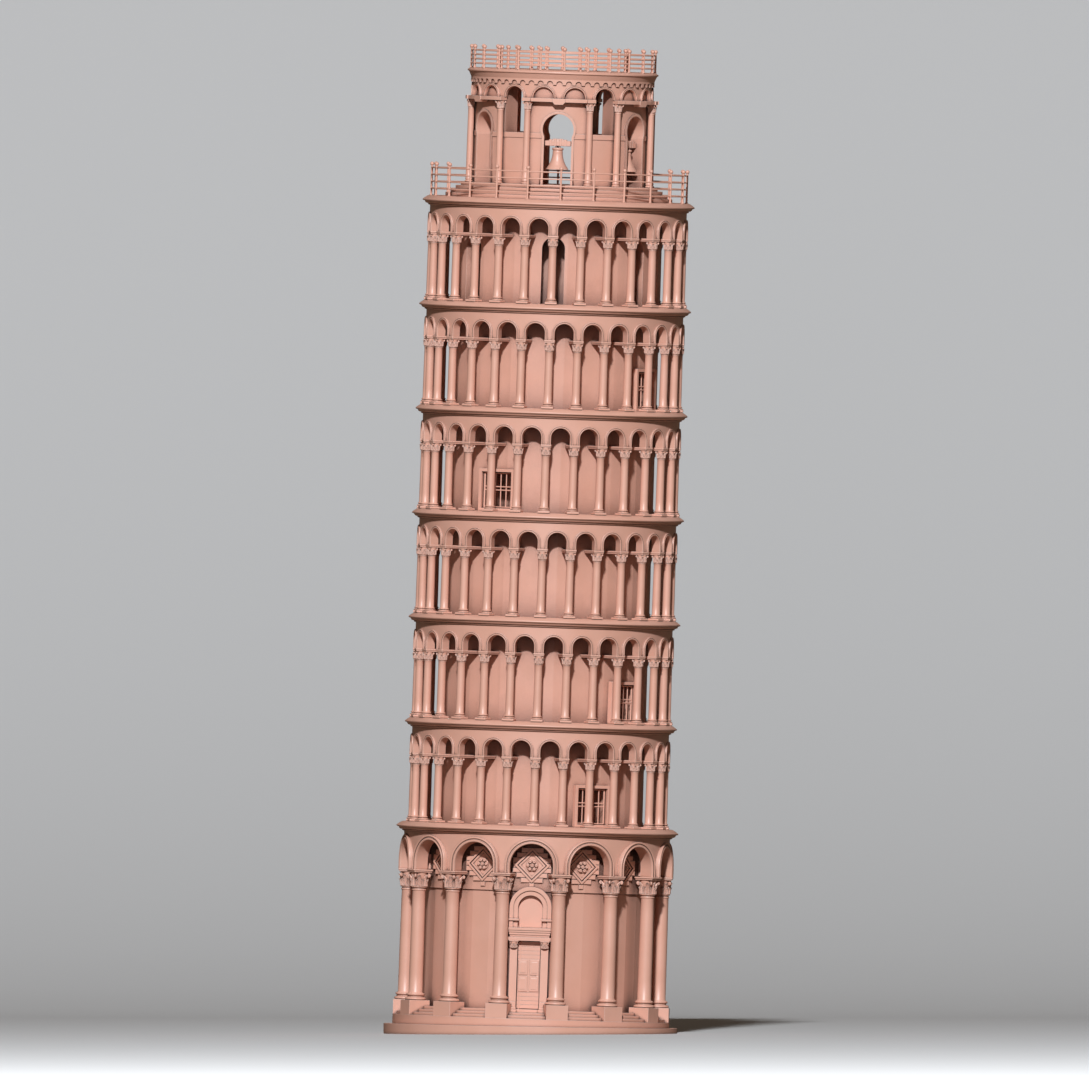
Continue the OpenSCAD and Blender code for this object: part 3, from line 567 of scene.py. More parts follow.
def cast(slot):
    """The material of a slot, from those made when one is first asked for."""
    if not MATERIALS:
        look = bpy.context.scene.bell_tower_cast
        groups = {"recess": make_painted_shade_group(), "edge": make_edge_group(),
                  "grain": make_grain_group()}
        for name, finish in FINISHES.items():
            MATERIALS[name] = cast_material(name, look, groups, **finish)
    return MATERIALS[slot]


# ---- Settings ----

def colour_setting(name, description, default):
    """A colour in the panel."""
    return bpy.props.FloatVectorProperty(name=name, description=description, subtype="COLOR",
                                         default=default, min=0, max=1)


def power_setting(name, description, default):
    """A lamp's power in the panel."""
    return bpy.props.FloatProperty(name=name, description=description, default=default, min=0,
                                   unit="POWER")


class CastSettings(bpy.types.PropertyGroup):
    """Colours and finish of the cast body."""
    body_colour: colour_setting("Body", "Colour of the open faces", (0.74, 0.40, 0.295))
    mottle_colour: colour_setting(
        "Mottling", "Colour that the body drifts to in patches", (0.71, 0.375, 0.27))
    # painted shade colour: the near-black that the recesses are painted with
    painted_shade_colour: colour_setting("Recesses", "Colour deep in the crevices", (0.045, 0.014, 0.009))
    # painted highlight colour: the pale tone painted along the edges
    painted_highlight_colour: colour_setting("Edges", "Colour of the rubbed edges", (1.0, 0.84, 0.74))
    roughness: bpy.props.FloatProperty(
        name="Roughness", description="How dull the open faces are", default=0.42,
        min=0.05, max=1)
    gloss: bpy.props.FloatProperty(
        name="Gloss", description="Strength of the reflections", default=0.6, min=0, max=1)
    grain_strength: bpy.props.FloatProperty(
        name="Grain", description="Strength of the casting grain", default=0.25, min=0, max=1)


class CarvingSettings(bpy.types.PropertyGroup):
    """How richly the capitals and the rosettes are carved."""
    ground_leaves: bpy.props.IntProperty(
        name="Ground leaves", description="Leaves in a tier of a ground capital",
        default=8, min=4, max=12)
    gallery_leaves: bpy.props.IntProperty(
        name="Gallery leaves", description="Leaves in a tier of a gallery capital",
        default=8, min=4, max=12)
    petals: bpy.props.IntProperty(
        name="Petals", description="Petals of a rosette", default=6, min=5, max=12)
    cornice_segments: bpy.props.IntProperty(
        name="Cornice segments", description="Segments round a cornice", default=288,
        min=96, max=512)


class BellSettings(bpy.types.PropertyGroup):
    """Sizes of the bells' own mouldings."""
    lip_roll: bpy.props.FloatProperty(
        name="Lip roll", description="How far the roll at the lip stands out",
        default=0.12 * MM, min=0, max=0.3 * MM, unit="LENGTH", precision=5)
    strap_width: bpy.props.FloatProperty(
        name="Strap width", description="Width of the headstock's iron straps",
        default=0.9 * MM, min=0.4 * MM, max=2 * MM, unit="LENGTH", precision=5)


class StageSettings(bpy.types.PropertyGroup):
    """Floor, lights and camera."""
    floor_colour: colour_setting(
        "Floor", "Colour of the plain floor and backdrop", (0.66, 0.65, 0.63))
    bounce_colour: colour_setting(
        "Bounce", "Colour of the light that the floor throws back", (0.17, 0.12, 0.08))
    key_power: power_setting("Key light", "Power of the high front light", 285.0)
    front_power: power_setting("Front light", "Power of the low front light", 7.0)
    back_power: power_setting("Back light", "Power of the light behind the tower", 100.0)
    surround: bpy.props.FloatProperty(
        name="Surround", description="Brightness of the warm surround", default=0.03, min=0)
    picture_width: bpy.props.FloatProperty(
        name="Picture width", description="Width that the camera takes in",
        default=0.4356, min=0.1, unit="LENGTH", precision=4)


# ---- Operators, one for each piece or group of like pieces ----

class TOWER_OT_castings(bpy.types.Operator):
    """Give the plain castings that are kept from the frame their cast material"""
    bl_idname = "bell_tower.castings"
    bl_label = "Finish the plain castings"

    def execute(self, context):
        slots = {part["node"]: part["material_slot"] for part in frame["record"]["subparts"]}
        for node, obj in frame["nodes"].items():
            material = cast(slots[node])
            if not obj.material_slots:
                obj.data.materials.append(material)
            for place in obj.material_slots:
                place.material = material
        return {"FINISHED"}


class TOWER_OT_ground_columns(bpy.types.Operator):
    """Build the ground storey's columns and their leafed capitals"""
    bl_idname = "bell_tower.ground_columns"
    bl_label = "Ground columns and capitals"

    def execute(self, context):
        carving = context.scene.bell_tower_carving
        count, first = GROUND_BAYS, math.pi / GROUND_BAYS
        radius = ring_radius("ground_columns", count, first)
        z0, z1 = heights("ground_columns")
        cap_z0, cap_z1 = heights("ground_capitals")
        foot = reach("ground_columns")[1] - radius
        shaft = column_shaft(foot, shaft_r=0.665 * foot, top_r=0.62 * foot,
                             base_h=0.065 * (z1 - z0), total=z1 - z0)
        columns = Shape().repeat(shaft, around(count, first, radius, z0))
        piece("carved_ground_columns", columns, "tower", "cast_columns", "ground_columns")
        half, thick, top = 4.1 * MM, 1.25 * MM, cap_z1 - cap_z0
        inner, step = 0.93 * half, top - 0.55 * thick
        crown = capital(neck_r=0.64 * foot, top_r=0.88 * half, height=top - thick, tiers=2,
                        leaves=carving.ground_leaves)
        crown.join(slab((-inner, inner), (-inner, inner), (top - thick, step), 0.12 * MM))
        crown.join(slab((-half, half), (-half, half), (step, top), 0.15 * MM))
        capitals = Shape().repeat(crown, around(count, first, radius, cap_z0))
        piece("carved_ground_capitals", capitals, "tower", "cast_columns", "ground_capitals")
        return {"FINISHED"}


class TOWER_OT_gallery_columns(bpy.types.Operator):
    """Build the columns, capitals and impost beams of the six galleries"""
    bl_idname = "bell_tower.gallery_columns"
    bl_label = "Gallery columns"

    def execute(self, context):
        carving = context.scene.bell_tower_carving
        radius = ring_radius("gallery_1_columns", GALLERY_BAYS, 0)
        z0, z1 = heights("gallery_1_columns")
        beam_in, beam_out = reach("gallery_1_columns", lambda p: p[:, 2] > z1 - 0.1 * MM)
        clear_of_wall = 1.0005
        beam_in *= clear_of_wall
        total = z1 - z0
        plinth, plinth_t, beam_w, beam_t, cap_h = (v * MM for v in (2.4, 0.9, 2.15, 1.25, 3.1))
        beam_out = math.sqrt(beam_out ** 2 - beam_w ** 2)
        front, back = radius - beam_out, radius - beam_in
        one = slab((-plinth, plinth), (-plinth, plinth), (0, plinth_t), 0.12 * MM)
        shaft_h = total - plinth_t - cap_h - beam_t
        one.join(column_shaft(foot_r=plinth * 0.96, shaft_r=1.6 * MM, top_r=1.5 * MM,
                              base_h=1.4 * MM, total=shaft_h),
                 at(0, 0, plinth_t))
        one.join(capital(neck_r=1.55 * MM, top_r=1.95 * MM, height=cap_h, tiers=1,
                         leaves=carving.gallery_leaves),
                 at(0, 0, plinth_t + shaft_h))
        one.join(slab((-beam_w * 0.93, beam_w * 0.93), (front + 0.15 * MM, back),
                      (total - beam_t, total - 0.6 * beam_t), 0.08 * MM))
        one.join(slab((-beam_w, beam_w), (front, back), (total - 0.6 * beam_t, total),
                      0.12 * MM))
        for k in GALLERIES:
            node = f"gallery_{k}_columns"
            row = Shape().repeat(one, around(GALLERY_BAYS, 0, radius, heights(node)[0]))
            piece(f"carved_{node}", row, "tower", "cast_columns", node)
        return {"FINISHED"}


class TOWER_OT_belfry_columns(bpy.types.Operator):
    """Build the belfry's slim columns with their capitals"""
    bl_idname = "bell_tower.belfry_columns"
    bl_label = "Belfry columns"

    def execute(self, context):
        beside, arches = math.radians(20), 6
        radius = ring_radius("belfry_columns", BELFRY_BAYS, beside)
        z0, z1 = heights("belfry_columns")
        total, cap_h = z1 - z0, 3.3 * MM
        one = column_shaft(foot_r=1.7 * MM, shaft_r=1.3 * MM, top_r=1.2 * MM, base_h=1.6 * MM,
                           total=total - cap_h)
        one.join(capital(neck_r=1.22 * MM, top_r=1.62 * MM, height=cap_h, tiers=1, leaves=8),
                 at(0, 0, total - cap_h))
        ring = Shape()
        for side in (-beside, beside):
            ring.repeat(one, around(arches, side, radius, z0))
        piece("carved_belfry_columns", ring, "tower", "cast_columns",
              "belfry_columns")
        return {"FINISHED"}


def arch_roll(radius, foot, spring, width, proud, deep, steps=20, sides=6):
    """A half-round roll that frames an arch, its back plane at y = 0."""
    path = [((-radius, foot), (-1, 0))]
    path += [((-radius * math.cos(a), spring + radius * math.sin(a)),
              (-math.cos(a), math.sin(a))) for a in np.linspace(0, math.pi, steps + 1)]
    path.append(((radius, foot), (1, 0)))
    section = [(-math.cos(a) * width / 2, -proud * math.sin(a))
               for a in np.linspace(0, math.pi, sides + 1)]
    section += [(width / 2, deep), (-width / 2, deep)]
    n = len(section)
    points = [(x + across * ax, y, z + across * az)
              for (x, z), (ax, az) in path for across, y in section]
    ends = [tuple(range(n)), tuple(range(len(points) - n, len(points)))]
    return Shape().add(points, bands(len(path), n) + ends)


class TOWER_OT_arch_rolls(bpy.types.Operator):
    """Frame every arch with an inner and an outer roll"""
    bl_idname = "bell_tower.arch_rolls"
    bl_label = "Arch rolls"

    def execute(self, context):
        inner, outer_roll, width, proud = 0.2, 0.78, 0.36, 0.2    # shares of the band
        rows = [("ground_arcade", GROUND_BAYS, 0)]
        rows += [(f"gallery_{k}_arcade", GALLERY_BAYS, math.pi / GALLERY_BAYS)
                 for k in GALLERIES]
        rows += [("belfry_arcade", BELFRY_BAYS, math.pi / BELFRY_BAYS)]
        for node, count, first in rows:
            opening, outer, foot, spring, face = arch_sizes(node, count, first)
            band = outer - opening
            one = Shape()
            for share in (inner, outer_roll):
                one.join(arch_roll(opening + share * band, foot, spring, width * band,
                                   proud * band, deep=0.4 * MM))
            ring = Shape().repeat(one, around(count, first, face))
            piece(f"rolls_of_{node}", ring, "tower", "cast_arcades")
        return {"FINISHED"}


class TOWER_OT_jamb_capitals(bpy.types.Operator):
    """Carve the small capitals and feet of the portal's jambs"""
    bl_idname = "bell_tower.jamb_capitals"
    bl_label = "Jamb capitals"

    def execute(self, context):
        points = upright_points("portal_frame") @ np.array(Matrix.Rotation(TURN, 3, "Z"))
        high = points[points[:, 2] > points[:, 2].max() - 0.1 * MM]
        z0, z1 = float(points[:, 2].min()), float(high[:, 2].max())
        inner, outer = span(np.abs(high[:, 0]))
        face = float(-points[:, 1].min())
        middle, half = (inner + outer) / 2, (outer - inner) / 2
        cap_h, foot_h = 3.0 * MM, 3.2 * MM
        crown = capital(neck_r=half * 0.86, top_r=half * 1.12, height=cap_h * 0.84, tiers=1,
                        leaves=8)
        crown.join(slab((-half * 1.25, half * 1.25), (-half * 1.1, half),
                        (cap_h * 0.84, cap_h), 0.1 * MM))
        foot = slab((-half * 1.2, half * 1.2), (-half * 0.75, half), (0, 0.4 * foot_h), 0.12 * MM)
        foot.join(slab((-half * 1.08, half * 1.08), (-half * 0.6, half),
                       (0.4 * foot_h, 0.66 * foot_h), 0.12 * MM))
        trim, y = Shape(), half * 0.35 - face
        for side in (-1, 1):
            trim.join(crown, at(side * middle, y, z1 - cap_h))
            trim.join(foot, at(side * middle, y, z0))
        piece("carved_jamb_capitals", trim, "tower", "cast_ornament", place=spin(TURN))
        return {"FINISHED"}


class TOWER_OT_cornices(bpy.types.Operator):
    """Turn the seven cornices and the roof slab with rounded mouldings"""
    bl_idname = "bell_tower.cornices"
    bl_label = "Cornices"

    def execute(self, context):
        segments = context.scene.bell_tower_carving.cornice_segments
        for k in CORNICES:
            node = f"cornice_{k}"
            z0, z1 = heights(node)
            lip = reach(node)[1]
            wall = reach(node, lambda p: p[:, 2] < z0 + 0.05 * MM)[1]
            out, tall = lip - wall, z1 - z0
            zl = z0 + 0.54 * tall
            # a roll, a cove and a wide lip: shares of the overhang and of the height
            outline = [(0, z0), (wall, z0), (wall + 0.02 * out, z0 + 0.03 * tall)]
            outline += roll(wall + 0.1 * out, z0 + 0.03 * tall, z0 + 0.16 * tall, 0.1 * out, 5)
            outline += [(wall + 0.24 * out, z0 + 0.17 * tall)]
            outline += [(wall + (0.24 + 0.42 * math.sin(t * math.pi / 2)) * out,
                         z0 + (0.17 + 0.22 * (1 - math.cos(t * math.pi / 2))) * tall)
                        for t in (0.25, 0.5, 0.75, 1)]
            outline += [(wall + 0.7 * out, z0 + 0.4 * tall), (wall + 0.72 * out, zl - 0.1 * tall),
                        (wall + 0.9 * out, zl - 0.08 * tall)]
            outline += roll(wall + 0.93 * out, zl - 0.07 * tall, zl + 0.1 * tall, 0.07 * out, 6)
            outline += [(wall + 0.84 * out, zl + 0.16 * tall),
                        (wall + 0.8 * out, zl + 0.18 * tall),
                        (wall + 0.3 * out, z1 - 0.04 * tall), (wall + 0.1 * out, z1), (0, z1)]
            piece(f"moulded_{node}", lathe(outline, segments), "tower", "cast_cornices", node,
                  sharp=30)
        z0, z1 = heights("roof_slab")
        rim, tall = reach("roof_slab")[1], z1 - z0
        outline = [(0, z0), (rim - 0.5 * MM, z0),
                   *roll(rim - 0.25 * MM, z0, z0 + 0.6 * tall, 0.25 * MM),
                   (rim - 0.5 * MM, z0 + 0.68 * tall), (rim - 1.1 * MM, z1), (0, z1)]
        piece("moulded_roof_slab", lathe(outline, segments), "tower", "cast_cornices",
              "roof_slab", sharp=30)
        return {"FINISHED"}


class TOWER_OT_rosettes(bpy.types.Operator):
    """Carve the rosettes in the lozenges"""
    bl_idname = "bell_tower.rosettes"
    bl_label = "Rosettes"

    def execute(self, context):
        petals = context.scene.bell_tower_carving.petals
        z0, z1 = heights("rosettes")
        half, middle = 0.58 * (z1 - z0), (z0 + z1) / 2
        face = reach("rosettes", lambda p: abs(p[:, 2] - middle) < 0.9 * MM)[1]
        back = face - 1.5 * MM
        one = lathe([(0, 0), (half * 0.98, 0), (half, 0.3 * MM), (half * 0.9, 0.55 * MM),
                     (0, 0.6 * MM)], 32)
        petal_r = 0.3 * half
        dome = lathe([(0, 0), (petal_r, 0), (petal_r, 0.5 * MM), (petal_r * 0.8, 0.75 * MM),
                      (petal_r * 0.45, 0.85 * MM), (petal_r * 0.3, 0.7 * MM), (0, 0.66 * MM)], 16)
        for i in range(petals):
            spot = at(half * 0.69, 0, 0.45 * MM)
            one.join(dome, spin(i * math.tau / petals) @ spot)
        one.join(lathe([(0, 0.4 * MM), (half * 0.33, 0.4 * MM), (half * 0.33, 1.15 * MM),
                        (half * 0.26, 1.35 * MM), (half * 0.17, 1.2 * MM),
                        (half * 0.1, 1.42 * MM), (0, 1.48 * MM)], 20))
        places = [p @ TO_FRONT for p in around(GROUND_BAYS, 0, back, middle)]
        piece("carved_rosettes", Shape().repeat(one, places), "tower", "cast_ornament", "rosettes")
        return {"FINISHED"}


class TOWER_OT_railings(bpy.types.Operator):
    """Build both railings from round posts, bars and balls"""
    bl_idname = "bell_tower.railings"
    bl_label = "Railings"

    def execute(self, context):
        posts, bars = 24, 4
        post_r, bar_r = 0.425 * MM, 0.27 * MM
        for node in ("lower_railing", "upper_railing"):
            points = upright_points(node)
            z0, z1 = heights(node)
            top = points[points[:, 2] > z1 - 0.02 * MM]
            ahead = top[np.argmin(top[:, 1])]
            first = math.atan2(ahead[0], -ahead[1]) - TURN
            ball_r = 0.95 * 2 * post_r
            ball_z = z1 - ball_r
            spacing = (ball_z - z0 - 1.5 * MM) / bars
            post = lathe([(0, z0), (post_r * 1.5, z0), (post_r * 1.45, z0 + 0.35 * MM),
                          (post_r, z0 + 0.5 * MM), (post_r, ball_z - 1.5 * post_r),
                          (post_r * 1.4, ball_z - 1.3 * post_r),
                          (post_r * 0.8, ball_z - 1.1 * post_r), (0, ball_z)], 14)
            post.join(ball(ball_r, ball_z))
            rail = Shape()
            for radius in ring_radii(top):
                rail.repeat(post, around(posts, first, radius))
                for i in range(1, bars + 1):
                    rail.join(tube_ring(radius, z0 + i * spacing, bar_r, 192))
            piece(f"round_{node}", rail, "tower", "cast_rails", node)
        return {"FINISHED"}


def facing(points):
    """Direction that a flat leaf faces, from the run of its points."""
    middle = points[:, :2].mean(axis=0)
    run = np.linalg.svd(points[:, :2] - middle, full_matrices=False)[2][0]
    ahead = np.array((run[1], -run[0])) * (1 if run[1] * middle[0] > run[0] * middle[1] else -1)
    return bearing(Vector((*ahead, 0)))


def rod(radius, length, sides=12):
    """A round bar on the axis, from z = 0, its ends slightly rounded."""
    cut = 0.2 * radius
    return lathe([(0, 0), (radius - cut, 0), (radius, cut), (radius, length - cut),
                  (radius - cut, length), (0, length)], sides)


class TOWER_OT_gates(bpy.types.Operator):
    """Build the barred gates from slim round bars"""
    bl_idname = "bell_tower.gates"
    bl_label = "Gates"

    def execute(self, context):
        bar_r, pin_r, uprights, levels = 0.24 * MM, 0.4 * MM, 4, (0, 0.5, 0.6, 1)
        for k in (1, 2, 4, 5):
            node = f"gate_{k}"
            points = upright_points(node)
            turn = facing(points)
            local = points @ np.array(Matrix.Rotation(turn, 3, "Z"))
            leaf_part = local[local[:, 0] > local[:, 0].min() + 1.5 * MM]
            (x0, x1), (z0, z1) = span(local[:, 0]), span(leaf_part[:, 2])
            y = sum(span(leaf_part[:, 1])) / 2
            x0, x1, z0, z1 = x0 + 1.5 * bar_r, x1 - 1.5 * bar_r, z0 + bar_r, z1 - bar_r
            gate = Shape()
            for i in range(uprights + 2):
                bar = rod(bar_r if 0 < i <= uprights else 1.5 * bar_r, z1 - z0)
                gate.join(bar, at(x0 + (x1 - x0) * i / (uprights + 1), y, z0))
            for level in levels:
                spot = at(x0, y - 0.4 * bar_r, z0 + level * (z1 - z0))
                gate.join(rod(bar_r, x1 - x0), spot @ TO_SIDE)
            hinge = spin(-turn) @ joint_spot(f"gate_{k}_swing")
            low, high = heights(node)
            gate.join(rod(pin_r, high - low, 16), at(hinge.x, hinge.y, low))
            piece(f"barred_{node}", gate, node, "cast_gates", node, place=spin(turn))
        return {"FINISHED"}


class TOWER_OT_door(bpy.types.Operator):
    """Build the panelled door leaf from boards and raised fields"""
    bl_idname = "bell_tower.door"
    bl_label = "Door"

    def execute(self, context):
        points = upright_points("portal_door")
        turn = np.array(Matrix.Rotation(-TURN, 3, "Z"))
        local = points @ turn.T
        slim = local[local[:, 0] > local[:, 0].min() + 1.5 * MM]
        (x0, x1), (y0, y1), (z0, z1) = span(local[:, 0]), span(slim[:, 1]), span(slim[:, 2])
        width, tall = x1 - x0, z1 - z0
        door = slab((x0, x1), (y0 + 0.55 * MM, y1), (z0, z1))    # the leaf's core
        # heights of the boards and of the raised fields are shares of the leaf
        boards = [(0, 0.06), (0.06, 0.12), (0.12, 0.18), (0.18, 0.24), (0.74, 0.8),
                  (0.8, 0.86), (0.86, 0.92), (0.92, 1)]
        for low, high in boards:
            door.join(slab((x0, x1), (y0 + 0.35 * MM, y0 + 0.7 * MM),
                            (z0 + low * tall, z0 + high * tall), 0.06 * MM))
        door.join(slab((x0, x1), (y0 + 0.3 * MM, y0 + 0.7 * MM),
                        (z0 + 0.24 * tall, z0 + 0.74 * tall), 0.05 * MM))
        for side in (0, 1):
            for low, high in ((0.255, 0.485), (0.5, 0.725)):
                a = x0 + (0.04 + 0.5 * side) * width
                field = (a, a + 0.42 * width)
                door.join(slab(field, (y0 + 0.08 * MM, y0 + 0.6 * MM),
                                (z0 + low * tall, z0 + high * tall), 0.12 * MM))
                door.join(slab((field[0] + 0.7 * MM, field[1] - 0.7 * MM),
                                (y0, y0 + 0.5 * MM),
                                (z0 + low * tall + 0.8 * MM, z0 + high * tall - 0.8 * MM),
                                0.1 * MM))
        spot = spin(-TURN) @ joint_spot("door_swing")
        pin_z0, pin_z1 = heights("portal_door")
        pin = lathe([(0, pin_z0), (0.4 * MM, pin_z0), (0.45 * MM, pin_z0 + 0.05 * MM),
                     (0.45 * MM, pin_z1 - 0.05 * MM), (0.4 * MM, pin_z1), (0, pin_z1)], 20)
        door.join(pin, at(spot.x, spot.y, 0))
        boss = lathe([(0, 0), (0.5 * MM, 0), (0.45 * MM, 0.15 * MM), (0, 0.25 * MM)], 16)
        door.join(boss, at(x1 - 0.9 * MM, y0 + 0.3 * MM, z0 + 0.492 * tall)
                   @ TO_FRONT)
        piece("panelled_door", door, "door", "cast_ornament", "portal_door", place=spin(TURN))
        return {"FINISHED"}


def bell_outline(lip, height, roll_out):
    """A bell's outer outline from crown to lip, with two rolls above the lip."""
    steps = 18
    line = []
    for k in range(steps + 1):
        t = k / steps
        r = lip * (0.42 + 0.06 * t + 0.52 * t ** 2.7)
        bump = roll_out * sum(math.exp(-((t - c) / 0.025) ** 2) for c in (0.16, 0.7, 0.88))
        line.append((r + bump, -height * t))
    return line


class TOWER_OT_bells(bpy.types.Operator):
    """Turn the bells, with their loops, headstocks and clappers"""
    bl_idname = "bell_tower.bells"
    bl_label = "Bells"

    def execute(self, context):
        look = context.scene.bell_tower_bells
        for name in ("front", "right"):
            spot = joint_spot(f"bell_{name}_swing")
            place = Matrix.Translation(spot) @ spin(bearing(spot))
            self.bell(name, spot, place, look)
            self.headstock(name, spot, place, look)
            self.clapper(name, spot, place)
        return {"FINISHED"}

    def bell(self, name, spot, place, look):
        node = f"bell_{name}"
        z0, z1 = (z - spot.z for z in heights(node))
        points = upright_points(node)
        low = points[points[:, 2] < spot.z + z0 + 0.05 * MM]
        lip = float(np.hypot(low[:, 0] - spot.x, low[:, 1] - spot.y).max())
        shell = np.hypot(points[:, 0] - spot.x, points[:, 1] - spot.y) > 0.35 * lip
        crown = float(points[shell, 2].max()) - spot.z
        height = crown - z0
        skin = 0.55 * MM
        outer = [(r, crown + z) for r, z in bell_outline(lip - look.lip_roll, height * 0.985,
                                                         look.lip_roll)]
        inner = [(r - skin, crown + z) for r, z in bell_outline(lip - look.lip_roll,
                                                                height * 0.97, 0)][1:]
        collar = roll(0.4 * lip, crown + 0.3 * MM, crown - 0.7 * MM, 0.1 * lip, 6)
        outline = ([(0, crown + 0.3 * MM)] + collar + outer[2:]
                   + [(lip * 0.97, z0), (lip * 0.9, z0)] + inner[::-1]
                   + [(0, crown - skin)])
        shape = lathe(outline, 48)
        for i in range(4):
            turn = spin(i * math.tau / 4 + math.pi / 4)
            loop = tube_ring(0.62 * MM, 0, 0.22 * MM, 20, 8)
            shape.join(loop, turn @ at(0.62 * MM, 0, (crown + z1) / 2)
                       @ TO_FRONT)
        shape.join(lathe([(0, crown), (0.5 * MM, crown), (0.42 * MM, z1 - 0.2 * MM), (0, z1)], 16))
        eye = JOINTS[f"clapper_{name}_swing"]
        pin_z = (UPRIGHT @ Vector(eye["pos_m"])).z - spot.z
        end, pin_r = 1.86 * MM, 0.3 * MM
        pin = lathe([(0, -end), (pin_r, -end), (pin_r, end), (0, end)], 16)
        shape.join(pin, at(0, 0, pin_z) @ TO_SIDE)
        piece(f"turned_bell_{name}", shape, f"bell_{name}", "cast_bells", node, place=place)

    def headstock(self, name, spot, place, look):
        node = f"headstock_{name}"
        half = 5.25 * MM
        h = heights(node)[1] - spot.z
        shape = slab((-half, half), (-h * 0.9, h * 0.9), (-h, 0.45 * h), 0.15 * MM)
        shape.join(slab((-0.42 * half, 0.42 * half), (-h * 0.8, h * 0.8), (0.3 * h, h), 0.2 * MM))
        shape.join(slab((-0.7 * half, 0.7 * half), (-h * 0.85, h * 0.85), (0.2 * h, 0.75 * h),
                        0.15 * MM))
        w = look.strap_width / 2
        for share, top in ((-0.55, 0.8 * h), (-0.2, h), (0.2, h), (0.55, 0.8 * h)):
            x = share * half
            shape.join(slab((x - w, x + w), (-h, h), (-h, top), 0.06 * MM))
        end, pin_r, cut = 7.1 * MM, 0.6 * MM, 0.1 * MM
        pin = lathe([(0, -end), (pin_r - cut, -end), (pin_r, cut - end), (pin_r, end - cut),
                     (pin_r - cut, end), (0, end)], 20)
        shape.join(pin, TO_SIDE)
        piece(f"strapped_headstock_{name}", shape, f"bell_{name}", "cast_bells", node,
              place=place)

    def clapper(self, name, spot, place):
        node = f"clapper_{name}"
        z0, z1 = (z - spot.z for z in heights(node))
        ball_r = 0.75 * MM
        shape = lathe([(0, z0), (ball_r * 0.5, z0 + 0.1 * MM), (ball_r, z0 + ball_r),
                       (ball_r * 0.75, z0 + 1.6 * ball_r), (0.3 * MM, z0 + 2.1 * ball_r),
                       (0.24 * MM, z1 - 1.1 * MM), (0.3 * MM, z1 - 0.95 * MM),
                       (0, z1 - 0.9 * MM)], 20)
        eye_z = z1 - 0.65 * MM
        eye = hoop([(0.35 * MM, -0.42 * MM), (0.6 * MM, -0.42 * MM), (0.65 * MM, 0),
                    (0.6 * MM, 0.42 * MM), (0.35 * MM, 0.42 * MM)], 24)
        shape.join(eye, at(0, 0, eye_z) @ TO_SIDE)
        piece(f"turned_clapper_{name}", shape, f"clapper_{name}", "cast_bells", node,
              place=place)


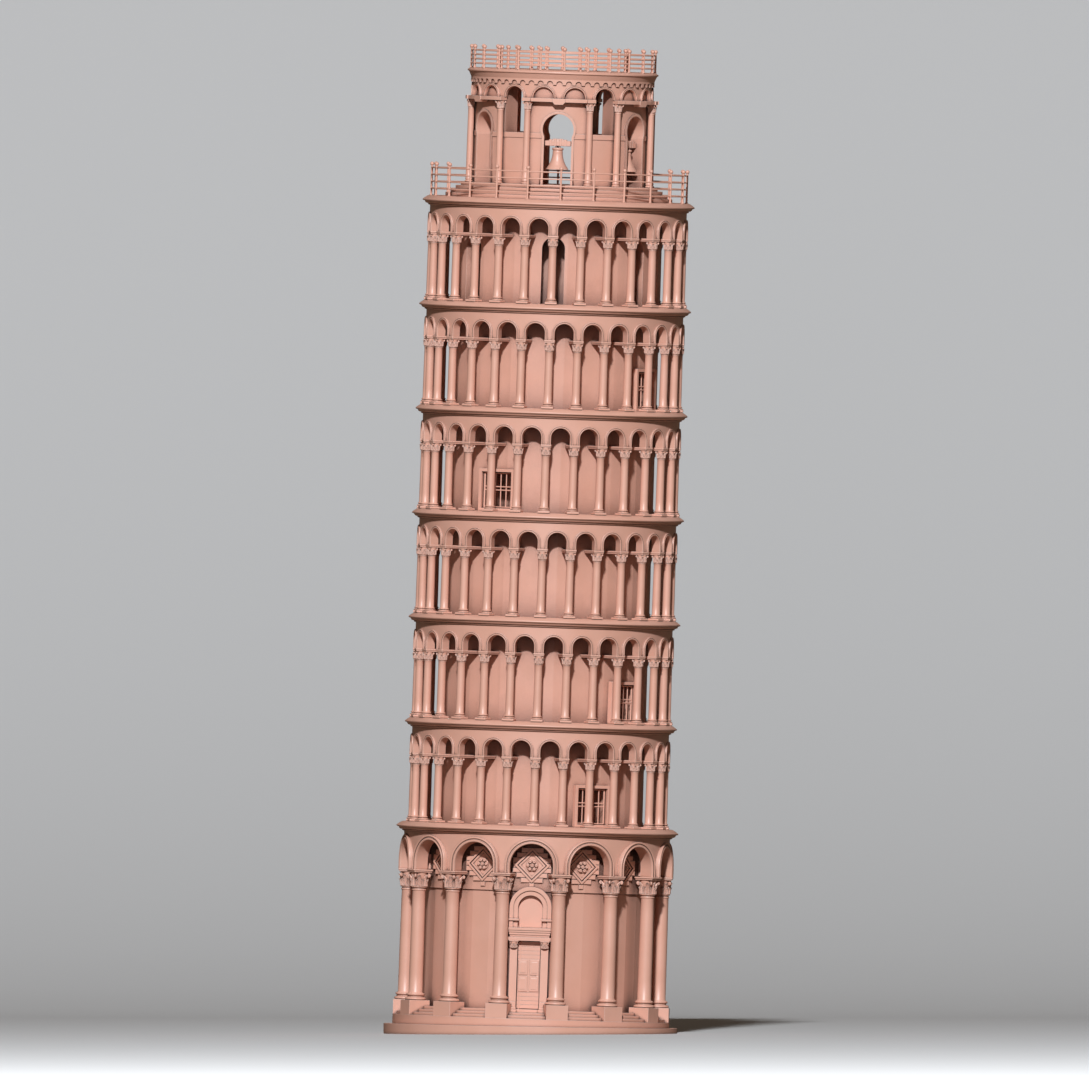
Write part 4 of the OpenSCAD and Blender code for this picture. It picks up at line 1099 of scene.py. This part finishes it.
class TOWER_OT_stage(bpy.types.Operator):
    """Lay the pale floor, and set the studio lights and the camera"""
    bl_idname = "bell_tower.stage"
    bl_label = "Floor, lights and camera"

    def execute(self, context):
        look = context.scene.bell_tower_stage
        self.sweep(look)
        low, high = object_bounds()
        middle = (low + high) / 2
        self.lamp("key_light", look.key_power, middle, size=0.25, bearing_deg=-3, rise_deg=30,
                  colour=(0.9, 0.94, 1))
        self.lamp("front_light", look.front_power, middle, size=0.6, bearing_deg=-4, rise_deg=4,
                  colour=(0.85, 0.9, 1))
        self.lamp("back_light", look.back_power, middle, size=1.2, bearing_deg=165, rise_deg=38,
                  colour=(1, 0.95, 0.95))
        self.surround(context, look)
        self.camera(context, look)
        context.scene.view_settings.view_transform = "Standard"
        return {"FINISHED"}

    def sweep(self, look):
        """A floor that curves up into a backdrop."""
        near, far = -6.5, 0.8                # front edge, and where the bend starts
        bend, top, half = 0.6, 4.5, 4.5      # radius of the bend, top edge, half width
        steps = 16
        line = [(near, 0.0)]
        line += [(far + bend * math.sin(k / steps * math.pi / 2),
                  bend - bend * math.cos(k / steps * math.pi / 2)) for k in range(steps + 1)]
        line.append((far + bend, top))
        points = [(x, y, z) for x in (-half, half) for y, z in line]
        n = len(line)
        mesh = bpy.data.meshes.new("floor")
        mesh.from_pydata(points, [], [(k, n + k, n + k + 1, k + 1) for k in range(n - 1)])
        mesh.shade_smooth()
        obj = bpy.data.objects.new("floor", mesh)
        bpy.context.collection.objects.link(obj)
        material = bpy.data.materials.new("plain_floor")
        material.use_nodes = True
        tree = material.node_tree
        shader = tree.nodes["Principled BSDF"]
        seen = tree.nodes.new("ShaderNodeLightPath").outputs["Is Camera Ray"]
        colour = mix_colour(tree, seen, tuple(look.bounce_colour) + (1.0,),
                            tuple(look.floor_colour) + (1.0,))
        tree.links.new(colour, shader.inputs["Base Color"])
        shader.inputs["Roughness"].default_value = 0.9
        mesh.materials.append(material)
        obj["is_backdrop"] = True

    def lamp(self, name, power, target, size, bearing_deg, rise_deg, colour):
        """A round soft light that looks at the target."""
        distance = 5.0
        light = bpy.data.lights.new(name, "AREA")
        light.energy, light.shape, light.size, light.color = power, "DISK", size, colour
        a, e = math.radians(bearing_deg), math.radians(rise_deg)
        back = Vector((math.sin(a) * math.cos(e), -math.cos(a) * math.cos(e), math.sin(e)))
        obj = bpy.data.objects.new(name, light)
        obj.location = target + distance * back
        obj.rotation_euler = (-back).to_track_quat("-Z", "Y").to_euler()
        bpy.context.collection.objects.link(obj)

    def surround(self, context, look):
        """An even, faint and warm light from all round."""
        world = context.scene.world or bpy.data.worlds.new("surround")
        context.scene.world = world
        world.use_nodes = True
        shade = world.node_tree.nodes["Background"]
        shade.inputs["Color"].default_value = (1.0, 0.86, 0.76, 1)
        shade.inputs["Strength"].default_value = look.surround

    def camera(self, context, look):
        """A level, distant camera in front of the portal."""
        rise, distance = math.radians(0.45), 6.0
        lens = bpy.data.cameras.new("camera")
        lens.type, lens.ortho_scale = "ORTHO", look.picture_width
        obj = bpy.data.objects.new("camera", lens)
        target = Vector((5.64 * MM, 0, 196.2 * MM))
        back = Vector((0, -math.cos(rise), math.sin(rise)))
        obj.location = target + distance * back
        obj.rotation_mode = "QUATERNION"
        obj.rotation_quaternion = (-back).to_track_quat("-Z", "Y")
        bpy.context.collection.objects.link(obj)
        context.scene.camera = obj


# ---- Panel and registration ----

STEPS = (TOWER_OT_castings, TOWER_OT_ground_columns, TOWER_OT_gallery_columns,
         TOWER_OT_belfry_columns, TOWER_OT_arch_rolls, TOWER_OT_jamb_capitals,
         TOWER_OT_cornices, TOWER_OT_rosettes,
         TOWER_OT_railings, TOWER_OT_gates, TOWER_OT_door, TOWER_OT_bells,
         TOWER_OT_stage)
SETTINGS = {"bell_tower_cast": CastSettings, "bell_tower_carving": CarvingSettings,
            "bell_tower_bells": BellSettings, "bell_tower_stage": StageSettings}


class TOWER_PT_panel(bpy.types.Panel):
    """Buttons and settings of the bell tower"""
    bl_idname = "TOWER_PT_panel"
    bl_label = "Bell Tower"
    bl_space_type = "VIEW_3D"
    bl_region_type = "UI"
    bl_category = "Bell Tower"

    def draw(self, context):
        for step in STEPS:
            self.layout.operator(step.bl_idname)
        for name, group in SETTINGS.items():
            box = self.layout.box()
            box.label(text=group.__doc__)
            for label in group.__annotations__:
                box.prop(getattr(context.scene, name), label)


CLASSES = (*SETTINGS.values(), *STEPS, TOWER_PT_panel)


def register():
    for cls in CLASSES:
        bpy.utils.register_class(cls)
    for name, group in SETTINGS.items():
        setattr(bpy.types.Scene, name, bpy.props.PointerProperty(type=group))


def unregister():
    for name in SETTINGS:
        delattr(bpy.types.Scene, name)
    for cls in reversed(CLASSES):
        bpy.utils.unregister_class(cls)


def main():
    register()
    for step in STEPS:
        group, name = step.bl_idname.split(".")
        getattr(getattr(bpy.ops, group), name)()


if __name__ == "__main__":
    main()
